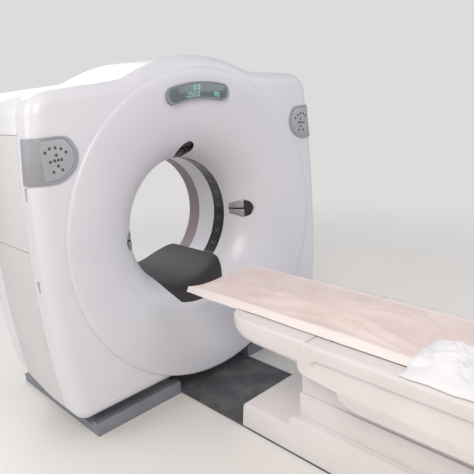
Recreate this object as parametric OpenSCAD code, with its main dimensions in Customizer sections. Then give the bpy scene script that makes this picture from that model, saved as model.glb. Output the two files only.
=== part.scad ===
// Ring-shaped X-ray tomography scanner with a tilting gantry and a lifting table.
// Axes: X right, Y to the rear through the bore, Z up. Millimetres.
// The origin lies on the floor, straight below the centre of the scan plane.

/* [Gantry] */
// Height of the bore axis above the floor
iso_h = 880; // [860:1:960]
// Free diameter of the bore
bore_d = 700; // [660:2:720]
// Radius of the dished front disc at its rim
dish_r = 800; // [770:2:820]
// Depth of the dish from its rim to the throat
dish_depth = 275; // [220:1:300]
// Distance of the front face ahead of the scan plane
front_y = 310; // [300:1:340]
// Distance of the rear face behind the scan plane
rear_y = 525; // [500:1:600]
// Reach of the gantry covers beyond the dish's rim at the widest height
side_out = 105; // [98:1:115]
// Height of the round hump on top above the dish's rim
arch_rise = 62; // [50:1:80]
// Height of the shoulders above the bore axis
shoulder_h = 775; // [760:1:790]
// Depth of the covers' lower edge below the bore axis
skirt_h = 755; // [735:1:760]
// Wall thickness of the covers
cover_t = 12; // [8:1:16]
// Radius that rounds the front edge of the covers
edge_r = 60; // [40:1:70]
// Width of the groove at a seam between covers
seam_w = 4; // [2:0.5:6]

/* [Dish fittings] */
// Half angle of the dark liner at the foot of the bore
liner_a = 42.2; // [38:0.1:44]
// Outer radius of the apron on the dish
apron_r = 430; // [400:1:460]
// Length of a laser window along the dish, as a radius
laser_r = 440; // [420:1:460]
// Width of a laser window at its wide end
laser_w = 107; // [80:1:120]
// Distance of the curved display from the dish's rim
display_in = 67; // [60:1:75]
// Radial height of the curved display
display_h = 82; // [70:1:90]
// Half angle of the curved display
display_a = 16.5; // [12:0.5:20]

/* [Tilt and rotor] */
// Radius of a trunnion pin
pin_r = 30; // [25:1:40]
// Running clearance of a pin in its bearing
pin_gap = 0.05; // [0.02:0.01:0.1]
// Inner face of an upright
upright_x = 700; // [700:1:705]
// Thickness of an upright
upright_t = 55; // [45:1:60]
// Outer radius of the turning drum
drum_r = 655; // [640:1:660]
// Inner radius of the turning drum
drum_in = 365; // [362:1:372]
// Radius of the drum's bearing race
race_r = 440; // [430:1:450]
// Gap between a turning and a fixed part
run_gap = 0.3; // [0.2:0.05:1]
// Radius of the drive pulley
pulley_r = 45; // [35:1:60]
// Distance of the drive pulley from the bore axis
pulley_c = 745; // [740:1:750]

/* [Base] */
// Distance of the base frame's outer edge from an upright
base_out = 10; // [10:1:40]
// Height of the side beams
beam_h = 45; // [35:1:50]
// Half width of the floor plate
plate_w = 255; // [240:1:256]
// Thickness of the floor plate
plate_t = 8; // [5:0.5:10]
// Radius of an anchor hole
anchor_r = 9; // [7:0.5:12]
// Distance of the gantry anchors from the frame's outer edge
anchor_in = 65; // [40:1:80]
// Spacing of the gantry anchors along the frame
anchor_y = 720; // [680:2:740]

/* [Table] */
// Half width of the table body
table_w = 306; // [300:1:320]
// Position of the table's nose ahead of the scan plane
nose_y = 717; // [715:1:760]
// Position of the table's foot end ahead of the scan plane
foot_y = 2920; // [2905:1:3000]
// Height of the table body's top edge
body_top = 600; // [597:1:602]
// Height of the cradle's top above the table body
cradle_up = 20; // [16:1:22]
// Half width of the cradle
cradle_w = 210; // [180:1:211]
// Thickness of the cradle in the middle
cradle_t = 50; // [40:1:52]
// Head end of the cradle ahead of the scan plane
cradle_y = 430; // [400:1:440]
// Length of the cradle
cradle_l = 2200; // [2000:5:2210]
// Side of a lift column's inner tube
column_w = 100; // [80:1:108]
// Thickness of the sheet as laid
sheet_t = 4; // [2:0.5:6]

/* [Hidden] */
$fn = 96;
bore_r = bore_d / 2;
arch_r = dish_r + arch_rise;
side_w = dish_r + side_out;
display_r = dish_r - display_in - display_h;
cradle_top_z = body_top + cradle_up;
body_y = nose_y + 441;
throat_y = -(front_y + 15) + dish_depth;
rim_y = -(front_y + 15);
scan_y = 42;
light_y = 181;
brown_y = 276;
seam_front = -175;
seam_rear = 205;
frame_y0 = -225;
frame_y1 = 560;
corner_up = 110;
corner_low = 70;
dish_t = 8;
rear_r = 575;
liner_t = 3;
liner_y = 450;
seat = 0.03;
upright_out = upright_x + upright_t;
base_w = upright_out + base_out;
gear_l = side_w - cover_t - 43 - upright_out;
far = 2 * side_w;
foot_z = beam_h + 5;
slide_gap = 0.05;

white = [0.90, 0.91, 0.93];
grey = [0.55, 0.56, 0.58];
dark = [0.20, 0.20, 0.22];
steel = [0.62, 0.64, 0.67];
blue = [0.25, 0.29, 0.36];

// A front-view outline pushed along Y, from y0 to y1, about the bore axis.
module slab(y0, y1) {
  translate([0, y1, iso_h]) rotate([90, 0, 0])
    linear_extrude(y1 - y0) children();
}

// A list of [radius, y] points turned about the bore axis.
module turned(pts, from = 0, sweep = 360) {
  translate([0, 0, iso_h]) rotate([90, 0, 0]) rotate([0, 0, from])
    rotate_extrude(angle = sweep) polygon([for (p = pts) [p[0], -p[1]]]);
}

module ring(r0, r1, y0, y1, from = 0, sweep = 360) {
  turned([[r0, y0], [r1, y0], [r1, y1], [r0, y1]], from, sweep);
}

// A round bar along Y at x, z above the bore axis.
module rod_y(r, y0, y1, x = 0, z = 0) {
  translate([x, y0, iso_h + z]) rotate([-90, 0, 0]) cylinder(r = r, h = y1 - y0);
}

module rod_x(r, x0, x1, y = 0, z = 0) {
  translate([x0, y, iso_h + z]) rotate([0, 90, 0]) cylinder(r = r, h = x1 - x0);
}

// A side-view outline of [y, z] points pushed along X.
module along_x(x0, x1) {
  translate([x0, 0, 0]) rotate([90, 0, 90]) linear_extrude(x1 - x0) children();
}

module block(x0, x1, y0, y1, z0, z1) {
  translate([x0, y0, z0]) cube([x1 - x0, y1 - y0, z1 - z0]);
}

// Outline of the covers seen from the front, about the bore axis.
function side_x(z) = side_w - pow(z + 50, 2) / 10000;
function shoulder_z(x) = shoulder_h - x * x / 17000;
function arc(cx, cz, r, a0, a1, n) =
  [for (i = [0:n]) let (a = a0 + (a1 - a0) * i / n) [cx + r * cos(a), cz + r * sin(a)]];
low_z = -skirt_h + corner_low;
low_x = side_x(low_z) - corner_low;
up_x = side_x(shoulder_h - 140) - corner_up;
crown = 13;
// The top line: the round hump and the flat shoulders, run together over a short bend.
function crown_z(x) = let (a = sqrt(max(arch_r * arch_r - x * x, 0)), b = shoulder_z(x))
  (a + b + norm([a - b, crown])) / 2;
up_z = crown_z(up_x) - corner_up;
right_half = concat(
  arc(low_x, low_z, corner_low, -90, 0, 4),
  [for (i = [1:6]) let (z = low_z + (up_z - low_z) * i / 7) [side_x(z), z]],
  arc(up_x, up_z, corner_up, 0, 90, 5),
  [for (i = [1:13]) let (x = up_x * (1 - i / 13)) [x, crown_z(x)]]
);
half_n = len(right_half);
outline = concat(right_half, [for (i = [half_n - 2:-1:0]) [-right_half[i][0], right_half[i][1]]]);
outline_n = len(outline);

// The outline moved inward by d along its normals.
function inset(d) = [for (i = [0:outline_n - 1])
  let (a = outline[(i + outline_n - 1) % outline_n], b = outline[(i + 1) % outline_n],
       t = b - a, m = norm(t))
  [outline[i][0] - d * t[1] / m, outline[i][1] + d * t[0] / m]];

// A closed skin through rings of [inset, scale, y].
module loft(rings) {
  n = outline_n;
  k = len(rings);
  pts = [for (r = rings) for (p = inset(r[0])) [p[0] * r[1], r[2], p[1] * r[1] + iso_h]];
  sides = [for (j = [0:k - 2]) for (i = [0:n - 1])
    let (a = j * n + i, b = j * n + (i + 1) % n, c = b + n, d = a + n)
    each [[a, b, c], [a, c, d]]];
  polyhedron(pts, concat(
    [[for (i = [n - 1:-1:0]) i]], sides, [[for (i = [0:n - 1]) (k - 1) * n + i]]), convexity = 8);
}

function front_round(d, steps) = [for (i = [0:steps]) let (a = 90 * i / steps)
  [d + (edge_r - d) * (1 - sin(a)), 1, -front_y + d + (edge_r - d) * (1 - cos(a))]];

// The dish: a quarter ellipse from the throat to the rim.
rim_w = dish_r - bore_r;
function dish_pt(a, d) = let (n = [dish_depth * cos(a), rim_w * sin(a)] / norm([dish_depth * cos(a), rim_w * sin(a)]))
  [bore_r + rim_w * (1 - cos(a)) + d * n[0], throat_y - dish_depth * sin(a) + d * n[1]];
dish_n = 14;
function dish_curve(d, a1 = 90, n = dish_n) = [for (i = [0:n]) dish_pt(a1 * i / n, d)];
function dish_angle(r) = acos(1 - (r - bore_r) / rim_w);
function rev(v) = [for (i = [len(v) - 1:-1:0]) v[i]];

// Gantry structure

module base_frame() {
  color(blue) {
    for (s = [-1, 1]) difference() {
      union() {
        block(min(s * (plate_w + 1), s * base_w), max(s * (plate_w + 1), s * base_w), frame_y0, frame_y1, 0, beam_h);
        block(min(s * (plate_w + 1), s * base_w), max(s * (plate_w + 1), s * base_w), frame_y0 - 45, frame_y0, 0, 70);
        block(min(s * (upright_x - 15), s * base_w), max(s * (upright_x - 15), s * base_w), 118, 272,
          beam_h - 1, foot_z);
      }
      for (y = [frame_y0 + 13:192:frame_y1 - 184])
        block(min(s * (plate_w + 20), s * (base_w - 80)), max(s * (plate_w + 20), s * (base_w - 80)), y, y + 176,
          -1, beam_h - 8);
      for (v = [0, 1])
        translate([s * (base_w - anchor_in), frame_y0 + 25 + v * anchor_y, -1]) cylinder(r = anchor_r, h = 200);
    }
    difference() {
      block(-plate_w - 1, plate_w + 1, frame_y1 - 180, frame_y1, 0, 60);
      block(-plate_w + 15, plate_w - 15, frame_y1 - 168, frame_y1 - 12, -1, 52);
    }
  }
}

shroud_x = 218;
shroud_y0 = -foot_y + 460;
shroud_y1 = -body_y + 78;
foot_anchors = [for (x = [-190, 190]) for (y = [shroud_y1 - 40, shroud_y0 + 40]) [x, y]];

module floor_plate() {
  color(dark) difference() {
    block(-plate_w, plate_w, shroud_y0 - 80, 290, 0, plate_t);
    for (p = [[-227, -286], [227, -286], [-230, -618], [230, -618]])
      translate([p[0], p[1], -1]) cylinder(r = 8, h = 20);
    for (p = foot_anchors) translate([p[0], p[1], -1]) cylinder(r = anchor_r, h = 20);
  }
}

module upright(s) {
  x0 = s > 0 ? upright_x : -upright_out;
  difference() {
    union() {
      along_x(x0, x0 + upright_t) polygon([
        [150, foot_z], [150, 100], [20, 320], [-80, 500], [-110, 680], [-119, iso_h - 10],
        [119, iso_h - 10], [150, 760], [230, 580], [290, 320], [262, 100], [262, foot_z]]);
      rod_x(120, x0, x0 + upright_t);
    }
    rod_x(55, x0 - 1, x0 + upright_t + 1);
    along_x(x0 - 1, x0 + upright_t + 1) polygon([[115, 330], [10, 520], [-20, 690], [95, 690], [165, 560], [205, 330]]);
    along_x(x0 + 12, x0 + upright_t - 12) polygon([[170, 110], [135, 290], [215, 290], [235, 110]]);
  }
}

module left_upright() { color(blue) upright(-1); }
module right_upright() { color(blue) upright(1); }

module trunnion_bearing(s) {
  x0 = s > 0 ? upright_x : -upright_out;
  difference() {
    rod_x(55, x0, x0 + upright_t);
    rod_x(pin_r + pin_gap, x0 - 1, x0 + upright_t + 1);
    for (x = [x0 - 1, x0 + upright_t - 3]) difference() {
      rod_x(49, x, x + 4);
      rod_x(37, x - 1, x + 5);
    }
  }
}

module left_trunnion_bearing() { color(steel) trunnion_bearing(-1); }
module right_trunnion_bearing() { color(steel) trunnion_bearing(1); }

module tilt_gearmotor() {
  flange = gear_l * 3 / 19;
  color(grey) difference() {
    union() {
      rod_x(110, upright_out, upright_out + flange);
      rod_x(80, upright_out + flange, upright_out + gear_l * 14 / 19);
      rod_x(55, upright_out + gear_l * 14 / 19, upright_out + gear_l);
      block(upright_out + flange, upright_out + gear_l * 15 / 19, -60, 60, iso_h - 190, iso_h - 60);
      translate([upright_out + gear_l * 9 / 19, 0, iso_h - 300]) cylinder(r = gear_l * 5.6 / 19, h = 115);
    }
    rod_x(pin_r + 1, upright_out - 1, upright_out + 22);
    for (a = [0:60:300])
      rod_x(6, upright_out - 1, upright_out + flange + 5, 95 * cos(a), 95 * sin(a));
  }
}

strut_up = [side_w - 135, 600];
strut_low = [600, -640];
rear_struts = [[450, 450], [600, -150]];
motor_p = -pulley_c * sqrt(0.5);

module tilt_frame() {
  color(blue) {
    difference() {
      slab(110, 170) difference() {
        union() {
          circle(690);
          for (s = [-1, 1]) {
            polygon([[s * 500, 470], [s * 650, 230], [s * (strut_up[0] + 22), 590], [s * (strut_up[0] - 12), 622]]);
            polygon([[s * 340, -600], [s * 640, -260], [s * (strut_low[0] + 22), -630], [s * (strut_low[0] - 12), -662]]);
          }
          translate([motor_p, motor_p]) circle(95);
        }
        circle(372);
        for (s = [-1, 1]) translate([s * 300, 560]) circle(52);
        translate([motor_p, motor_p]) circle(30);
      }
      slab(130, 171) difference() {
        circle(660);
        circle(402);
        for (a = [15:30:345]) rotate(a) translate([380, -6]) square([300, 12]);
        for (s = [-1, 1]) translate([s * 300, 560]) circle(72);
        for (s = [-1, 1]) for (p = rear_struts) translate([s * p[0], p[1]]) circle(26);
        translate([motor_p, motor_p]) circle(95);
      }
    }
    for (s = [-1, 1]) {
      block(min(s * (upright_x - 32), s * (upright_x - 5)), max(s * (upright_x - 32), s * (upright_x - 5)), -60, 112,
        iso_h - 85, iso_h + 85);
      rod_x(pin_r, s > 0 ? upright_x - 10 : -upright_out - 13, s > 0 ? upright_out + 13 : 10 - upright_x);
      rod_y(16, -front_y + cover_t, 115, s * strut_up[0], strut_up[1]);
      rod_y(16, -front_y + cover_t, 115, s * strut_low[0], strut_low[1]);
      for (p = rear_struts) rod_y(16, 125, rear_y - cover_t, s * p[0], p[1]);
    }
  }
}

module main_bearing() {
  color(steel) difference() {
    ring(race_r, 482, 80, 110);
    for (a = [0:15:345]) rod_y(5, 79, 111, 470 * cos(a), 470 * sin(a));
  }
}

// Covers

module front_cover() {
  color(white) difference() {
    loft(concat(front_round(0, 4), [[0, 1, seam_front], [cover_t, 1, seam_front]],
      rev(front_round(cover_t, 4))));
    rod_y(dish_r - 8, -front_y - 5, -front_y + 60);
    block(-low_x + 5, low_x - 5, -front_y + 20, 0, iso_h - skirt_h - 5, iso_h - skirt_h + 30);
    for (s = [-1, 1]) for (z = [300, -105])
      block(s * (side_w - 18) - 22, s * (side_w - 18) + 22, -232, -212, iso_h + z, iso_h + z + 55);
  }
}

module front_dish() {
  color(white) difference() {
    union() {
      turned(concat(dish_curve(0), [[dish_r, -front_y], [dish_r - 30, -front_y]], rev(dish_curve(dish_t))));
      turned([[dish_r - 36, rim_y + 3], [dish_r, rim_y + 3], [dish_r, -front_y], [dish_r - 36, -front_y]]);
    }
    slab(rim_y - 20, -200) display_shape(run_gap);
    for (a = [0, 90, 180]) laser_slot(a, 0);
  }
}

// A bullet-shaped prism over one laser window: narrow at the throat, round outside.
module laser_slot(a, shrink) {
  slab(-290, throat_y - 20) rotate(a) {
    translate([laser_r - laser_w / 2, 0]) circle(laser_w / 2 - shrink);
    polygon([[bore_r + 4 + shrink, -30 + shrink], [laser_r - laser_w / 2, -laser_w / 2 + shrink],
      [laser_r - laser_w / 2, laser_w / 2 - shrink], [bore_r + 4 + shrink, 30 - shrink]]);
  }
}

module laser_window(a) {
  amax = dish_angle(laser_r + 12);
  difference() {
    intersection() {
      turned(concat(dish_curve(-2, amax, 8), rev(dish_curve(dish_t + 6, amax, 8))), a - 12, 24);
      laser_slot(a, 0.4);
    }
    slab(-290, throat_y) rotate(a) translate([laser_r - 74, -7]) square([52, 14]);
  }
}

module laser_window_right() { color(grey) laser_window(0); }
module laser_window_top() { color(dark) laser_window(90); }
module laser_window_left() { color(grey) laser_window(180); }

module rear_cover() {
  rings = [for (i = [4:-1:0]) let (a = 22.5 * i)
    [cover_t, 1 - 0.2 * (1 - cos(a)), 255 + (rear_y - cover_t - 255) * sin(a)]];
  outer = [for (i = [0:4]) let (a = 22.5 * i)
    [0, 1 - 0.2 * (1 - cos(a)), 255 + (rear_y - 255) * sin(a)]];
  color(white) difference() {
    loft(concat(rings, [[cover_t, 1, seam_rear], [0, 1, seam_rear]], outer));
    rod_y(rear_r + dish_t + 3, 400, rear_y + 10);
    along_x(-far, far) polygon([[200, -50], [200, iso_h - 658], [265, iso_h - 610],
      [375, iso_h - 480], [560, iso_h - 310], [560, -50]]);
    for (z = [0:1:4]) for (s = [-1, 1])
      slab(rear_y - 20, rear_y + 5) translate([s * 640 - 45, 240 + z * 26]) square([90, 10]);
  }
}

module rear_dish() {
  color(white) turned([[bore_r, brown_y], [rear_r, rear_y], [rear_r + 5, rear_y + 6], [rear_r + 20, rear_y + 6],
    [rear_r + 20, rear_y], [rear_r + dish_t + 2, rear_y], [bore_r + dish_t + 2, brown_y]]);
}

// One part of the covers' middle band, with a shallow groove at each seam.
module band(z0, z1) {
  for (v = [[0, 6, seam_w], [6, cover_t, 0]]) {
    intersection() {
      slab(seam_front + v[2], seam_rear - v[2]) difference() {
        polygon(inset(v[0]));
        polygon(inset(v[1]));
      }
      block(-far, far, -400, 600, iso_h + z0 + v[2] / 2, iso_h + z1 - v[2] / 2);
    }
  }
}

top_z = shoulder_h - 206;
mid_z = 70;

module top_cover() { color(white) band(top_z, far); }

module side_panel(s, z0, z1) {
  difference() {
    intersection() {
      band(z0, z1);
      block(min(0, s * far), max(0, s * far), -400, 600, -far, 2 * far);
    }
    along_x(-far, far) polygon([[-180, -50], [-180, iso_h - 735], [-145, iso_h - 735], [15, iso_h - 700],
      [210, iso_h - 654], [210, -50]]);
  }
}

module left_upper_panel() { color(white) side_panel(-1, mid_z, top_z); }
module left_lower_panel() { color(white) side_panel(-1, -far, mid_z); }
module right_upper_panel() { color(white) side_panel(1, mid_z, top_z); }
module right_lower_panel() { color(white) side_panel(1, -far, mid_z); }

// Bore lining

module scan_window() {
  color(dark) union() {
    ring(bore_r, bore_r + 3, throat_y, scan_y);
    ring(bore_r + 3, bore_r + dish_t, throat_y, throat_y + 6);
    ring(bore_r + 3, bore_r + dish_t, scan_y - 6, scan_y);
  }
}

module bore_liner() {
  color(white) ring(bore_r, bore_r + dish_t, scan_y, light_y);
}

module bore_rear_liner() {
  color([0.45, 0.41, 0.40]) ring(bore_r, bore_r + dish_t, light_y, brown_y);
}

// The dark liner runs through the foot of the bore as a tongue with a rounded rear end.
module bore_lower_liner() {
  n = ceil(dish_n * dish_angle(apron_r) / 90);
  w = bore_r * sin(liner_a) + 1;
  color(dark) {
    intersection() {
      ring(bore_r - liner_t, bore_r - seat, throat_y, liner_y, 270 - liner_a, 2 * liner_a);
      linear_extrude(iso_h) liner_plan(w, 140);
    }
    intersection() {
      turned(concat([for (i = [0:n]) dish_pt(90 * i / dish_n, -liner_t)],
        [for (i = [n:-1:0]) dish_pt(90 * i / dish_n, -seat)]), 270 - liner_a, 2 * liner_a);
      slab(-front_y + 20, throat_y + 1) intersection() {
        polygon([for (s = [1, -1]) each (s > 0 ? apron_side(w) : [for (p = rev(apron_side(w))) [-p[0], p[1]]])]);
        circle(apron_r);
      }
    }
  }
}

function apron_side(w) = [[w, 10 - bore_r * cos(liner_a)], [w, -bore_r * cos(liner_a)], [w - 54, -bore_r - 5],
  [w - 95, 18 - apron_r], [w - 105, -40 - apron_r]];

module liner_plan(w, r) {
  for (s = [-1, 1]) translate([s * (w - r), liner_y - r]) circle(r);
  translate([-w, throat_y - 1]) square([2 * w, liner_y - r - throat_y + 1]);
  translate([r - w, throat_y]) square([2 * w - 2 * r, liner_y - throat_y]);
}

// Display and control panels

// Front view of the curved display with its round ends, grown by d.
module display_shape(d) {
  r = display_h / 2;
  m = display_r + r;
  a = display_a - asin(r / m);
  slab_ring(m - r - d, m + r + d, 90 - a, 2 * a);
  for (v = [90 - a, 90 + a]) translate([m * cos(v), m * sin(v)]) circle(r + d);
}

module slab_ring(r0, r1, from, sweep) {
  difference() {
    circle(r1);
    circle(r0);
    for (v = [0, 1]) rotate(from + v * sweep) translate([-2 * r1, v > 0 ? 0 : -4 * r1]) square(4 * r1);
  }
}

module display_bezel() {
  color(dark) difference() {
    slab(rim_y - 8, rim_y + 22) display_shape(0);
    slab(rim_y - 9, rim_y - 3) display_shape(-7);
  }
}

module display_lens() {
  color([0.08, 0.09, 0.1]) slab(rim_y - 6, rim_y - 3) display_shape(-7);
}

panel_t = 7;
panel_z = 461;
panel_h = 190;
panel_x = side_w - 227;
pad_x = side_w - 129;
panel_at = [[0, 19], [6, -16], [22, -46], [50, -71], [84, -89], [122, -95], [282, -89], [282, 87], [182, 95],
  [67, 95], [44, 87], [12, 49]];
mat_at = [[-82, 17], [-77, -12], [-62, -38], [-36, -60], [-6, -76], [26, -82], [66, -80], [66, 83], [26, 85],
  [-28, 85], [-48, 78], [-70, 50]];
key_at = [[-5, 0], [11, -1], [-20, 0], [0, 21], [-2, -24], [-44, 28], [-24, 44], [0, 51], [25, 50], [47, 36],
  [30, -4], [22, -46], [-18, -42]];
key_r = 7;

// Thickness profile of a panel in plan: flat on the face, round at the edge, back along the side.
module panel_plan(t0, t1) {
  x0 = panel_x - 28;
  x1 = side_x(panel_z) + 0.3;
  y0 = -front_y;
  difference() {
    union() {
      translate([x1 - edge_r, y0 + edge_r]) circle(edge_r + t1);
      translate([x0, y0 - t1]) square([x1 - edge_r - x0, edge_r]);
      translate([x1 - edge_r, y0 + edge_r]) square([edge_r + t1, 26]);
    }
    translate([x1 - edge_r, y0 + edge_r]) circle(edge_r + t0);
    translate([x0 - 10, y0 - t0]) square([x1 - edge_r - x0 + 10, 200]);
    translate([x0 - 10, y0 + edge_r]) square([x1 - x0 + 10 + t0, 200]);
  }
}

module mat_shape(d) {
  translate([pad_x, panel_z]) polygon([for (p = mat_at) p * (1 + d / 80)]);
}

module control_panel(s) {
  lean = atan(2 * (panel_z + 50) / 10000);
  mirror([s > 0 ? 0 : 1, 0, 0]) difference() {
    intersection() {
      translate([side_x(panel_z), 0, iso_h + panel_z]) rotate([0, -lean, 0])
        translate([-side_x(panel_z), 0, -130]) linear_extrude(260) panel_plan(0, panel_t);
      slab(-front_y - 30, seam_front - 20) translate([panel_x, panel_z]) polygon(panel_at);
    }
    slab(-front_y - 30, -front_y - 3) mat_shape(0.5);
  }
}

module left_control_panel() { color(grey) control_panel(-1); }
module right_control_panel() { color(grey) control_panel(1); }

// One moulded mat with thirteen raised keys.
module keypad(s) {
  mirror([s > 0 ? 0 : 1, 0, 0]) {
    slab(-front_y - 5.5, -front_y - 3) mat_shape(0);
    for (k = key_at) rod_y(key_r, -front_y - 9, -front_y - 5, pad_x + k[0], panel_z + k[1]);
  }
}

module left_keypad() { color(dark) keypad(-1); }
module right_keypad() { color(dark) keypad(1); }

// Drive, brushes and cooling

belt_y0 = -85;
belt_y1 = -55;

module drive_motor() {
  color(steel) {
    difference() {
      rod_y(70, -10, 110, motor_p, motor_p);
      for (a = [0:20:340]) rod_y(4, 0, 95, motor_p + 72 * cos(a), motor_p + 72 * sin(a));
    }
    rod_y(12, -95, 0, motor_p, motor_p);
    rod_y(29, 105, 165, motor_p, motor_p);
  }
}

module drive_pulley() {
  color(steel) difference() {
    union() {
      rod_y(pulley_r, belt_y0 - 3, belt_y1 + 3, motor_p, motor_p);
      for (y = [belt_y0 - 6, belt_y1 + 3]) rod_y(pulley_r + 5, y, y + 3, motor_p, motor_p);
    }
    rod_y(12 + pin_gap, belt_y0 - 10, belt_y1 + 10, motor_p, motor_p);
    for (a = [0:60:300]) rod_y(6, -100, -40, motor_p + 28 * cos(a), motor_p + 28 * sin(a));
  }
}

// Flat belt round the drum and the pulley, drawn as one closed band in short straight steps.
belt_a = acos((drum_r - pulley_r) / pulley_c);
function belt_line(t) = let (m = 270 / 72, k = 70 / 16)
  concat(
    [for (i = [0:72]) let (a = 225 + belt_a + (360 - 2 * belt_a) * i / 72, r = (drum_r + t) / cos(m / 1.8))
      [r * cos(a), r * sin(a)]],
    [for (i = [0:16]) let (a = 225 - belt_a + 2 * belt_a * i / 16, r = (pulley_r + t) / cos(k / 1.8))
      [motor_p + r * cos(a), motor_p + r * sin(a)]]);

module drive_belt() {
  color(dark) slab(belt_y0, belt_y1) difference() {
    polygon(belt_line(run_gap + 4));
    polygon(belt_line(run_gap));
  }
}

module brush_block() {
  color(grey) {
    slab(96, 110) rotate(150) translate([565, -60]) square([72, 120]);
    slab(84 + run_gap, 97) rotate(150) for (r = [570, 588, 606, 624])
      for (v = [-40, 0, 40]) translate([r, v - 8]) square([8, 16]);
  }
}

module fan_frame(s) {
  translate([s * 300, 0, 560]) {
    difference() {
      translate([-60, 170, iso_h - 60]) cube([120, 38, 120]);
      rod_y(52, 169, 209);
      for (x = [-52, 52]) for (z = [-52, 52]) rod_y(2.5, 169, 209, x, z);
    }
    for (a = [0, 120, 240])
      slab(204, 208) rotate(a + 90) translate([0, -4]) square([53, 8]);
    rod_y(3, 180, 206);
    rod_y(16, 200, 208);
  }
}

module left_fan_frame() { color(dark) fan_frame(-1); }
module right_fan_frame() { color(dark) fan_frame(1); }

module fan_rotor(s) {
  translate([s * 300, 0, 560]) difference() {
    union() {
      rod_y(18, 176, 199);
      for (a = [0:360 / 7:359]) translate([0, 187, iso_h]) rotate([0, a, 0])
        rotate([0, 0, 35]) translate([-11, -1, 10]) cube([22, 2, 38]);
    }
    rod_y(3 + pin_gap, 178, 200);
  }
}

module left_fan() { color(grey) fan_rotor(-1); }
module right_fan() { color(grey) fan_rotor(1); }

// Rotor

module rotor_drum() {
  color(steel) {
    difference() {
      ring(drum_in, drum_r, 55, 75);
      for (a = [22.5:45:340]) rod_y(42, 50, 80, 545 * cos(a), 545 * sin(a));
    }
    ring(drum_r - 14, drum_r, -88, 56);
    ring(drum_in, drum_in + 7, -60, 56);
    ring(405, race_r - run_gap, 74, 108);
  }
}

module xray_tube() {
  color(steel) {
    rod_y(86, -75, 45, 0, 536);
    rod_y(94, 30, 55, 0, 536);
    rod_y(52, -84, -70, 0, 536);
    for (y = [-50, -20, 10]) rod_y(90, y, y + 8, 0, 536);
  }
}

module collimator() {
  color(grey) difference() {
    slab(-42, 55) polygon([[-95, 438], [-70, 392], [70, 392], [95, 438]]);
    slab(-8, 8) polygon([[-20, 439], [-55, 391], [55, 391], [20, 439]]);
  }
}

module detector_array() {
  color(dark) {
    ring(462, 520, -45, 55, 240, 60);
    for (i = [0:14]) ring(448, 463, -32, 32, 241 + i * 3.9, 3.3);
  }
}

module high_voltage_tank() {
  color(steel) {
    block(452, 590, -78, 55, iso_h - 120, iso_h + 120);
    for (z = [-70, 70]) rod_y(22, -86, -70, 520, z);
  }
}

module inverter() {
  color(grey) {
    block(-590, -452, -70, 55, iso_h - 110, iso_h + 110);
    for (z = [-90:15:90]) block(-586, -456, -80, -69, iso_h + z - 2, iso_h + z + 2);
  }
}

module slip_ring() {
  color([0.72, 0.52, 0.3]) difference() {
    ring(560, 642, 75, 84);
    for (r = [582, 600, 618]) ring(r, r + 3, 80, 85);
  }
}

// Table

col_y = [shroud_y1 - 370, shroud_y0 + 410];
body_end = foot_y - 120;
under_z = body_top - 211;
trough_z = body_top - 145;

// A box across the table between two of the shrouds' insets, d inside the middle shroud.
module shroud_box(d, z0, z1) {
  block(-shroud_x + d, shroud_x - d, shroud_y0 + d, shroud_y1 - d, z0, z1);
}

module table_base() {
  color(blue) difference() {
    union() {
      block(-225, 225, shroud_y0 - 20, shroud_y1 + 20, plate_t, plate_t + 20);
      for (y = col_y) block(-column_w / 2 - 15, column_w / 2 + 15, y - column_w / 2 - 15, y + column_w / 2 + 15,
        plate_t + 10, under_z + 1);
    }
    for (y = col_y) {
      block(-column_w / 2 - 6, column_w / 2 + 6, y - column_w / 2 - 6, y + column_w / 2 + 6, plate_t + 20, under_z - 19);
      block(-column_w / 2 - slide_gap, column_w / 2 + slide_gap, y - column_w / 2 - slide_gap,
        y + column_w / 2 + slide_gap, under_z - 20, under_z + 10);
    }
    for (p = foot_anchors) translate([p[0], p[1], -1]) cylinder(r = anchor_r, h = 60);
  }
}

module pedestal_cover() {
  y0 = shroud_y0 - 65;
  y1 = shroud_y1 + 35;
  color(white) difference() {
    union() {
      along_x(-plate_w, plate_w) polygon([[-nose_y - 25, plate_t], [-nose_y - 31, 60], [-nose_y - 40, 118],
        [-nose_y - 49, 134], [-nose_y - 63, 140], [y1 + 10, 140], [y1, 150], [y1, plate_t]]);
      along_x(-plate_w, plate_w) polygon([[y1 + 5, plate_t], [y1 + 5, 172], [y1 - 15, 190], [y0 + 35, 190],
        [y0 + 10, 165], [y0, plate_t]]);
    }
    along_x(-plate_w + 6, plate_w - 6) polygon([[-nose_y - 31, 0], [-nose_y - 37, 60], [-nose_y - 46, 115],
      [-nose_y - 65, 134], [y1 - 1, 134], [y1 - 1, 0]]);
    along_x(-plate_w + 6, plate_w - 6) polygon([[y1 + 11, 0], [y1 - 1, 172], [y1 - 17, 184], [y0 + 37, 184],
      [y0 + 16, 163], [y0 + 6, 0]]);
    shroud_box(-slide_gap, 100, 250);
  }
}

module middle_shroud() {
  color(white) difference() {
    shroud_box(0, 40, 300);
    shroud_box(5, 30, 290);
    shroud_box(9 - slide_gap, 280, 310);
  }
}

module upper_shroud() {
  color(white) difference() {
    shroud_box(9, 150, trough_z);
    shroud_box(14, 140, trough_z + 5);
  }
}

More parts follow.
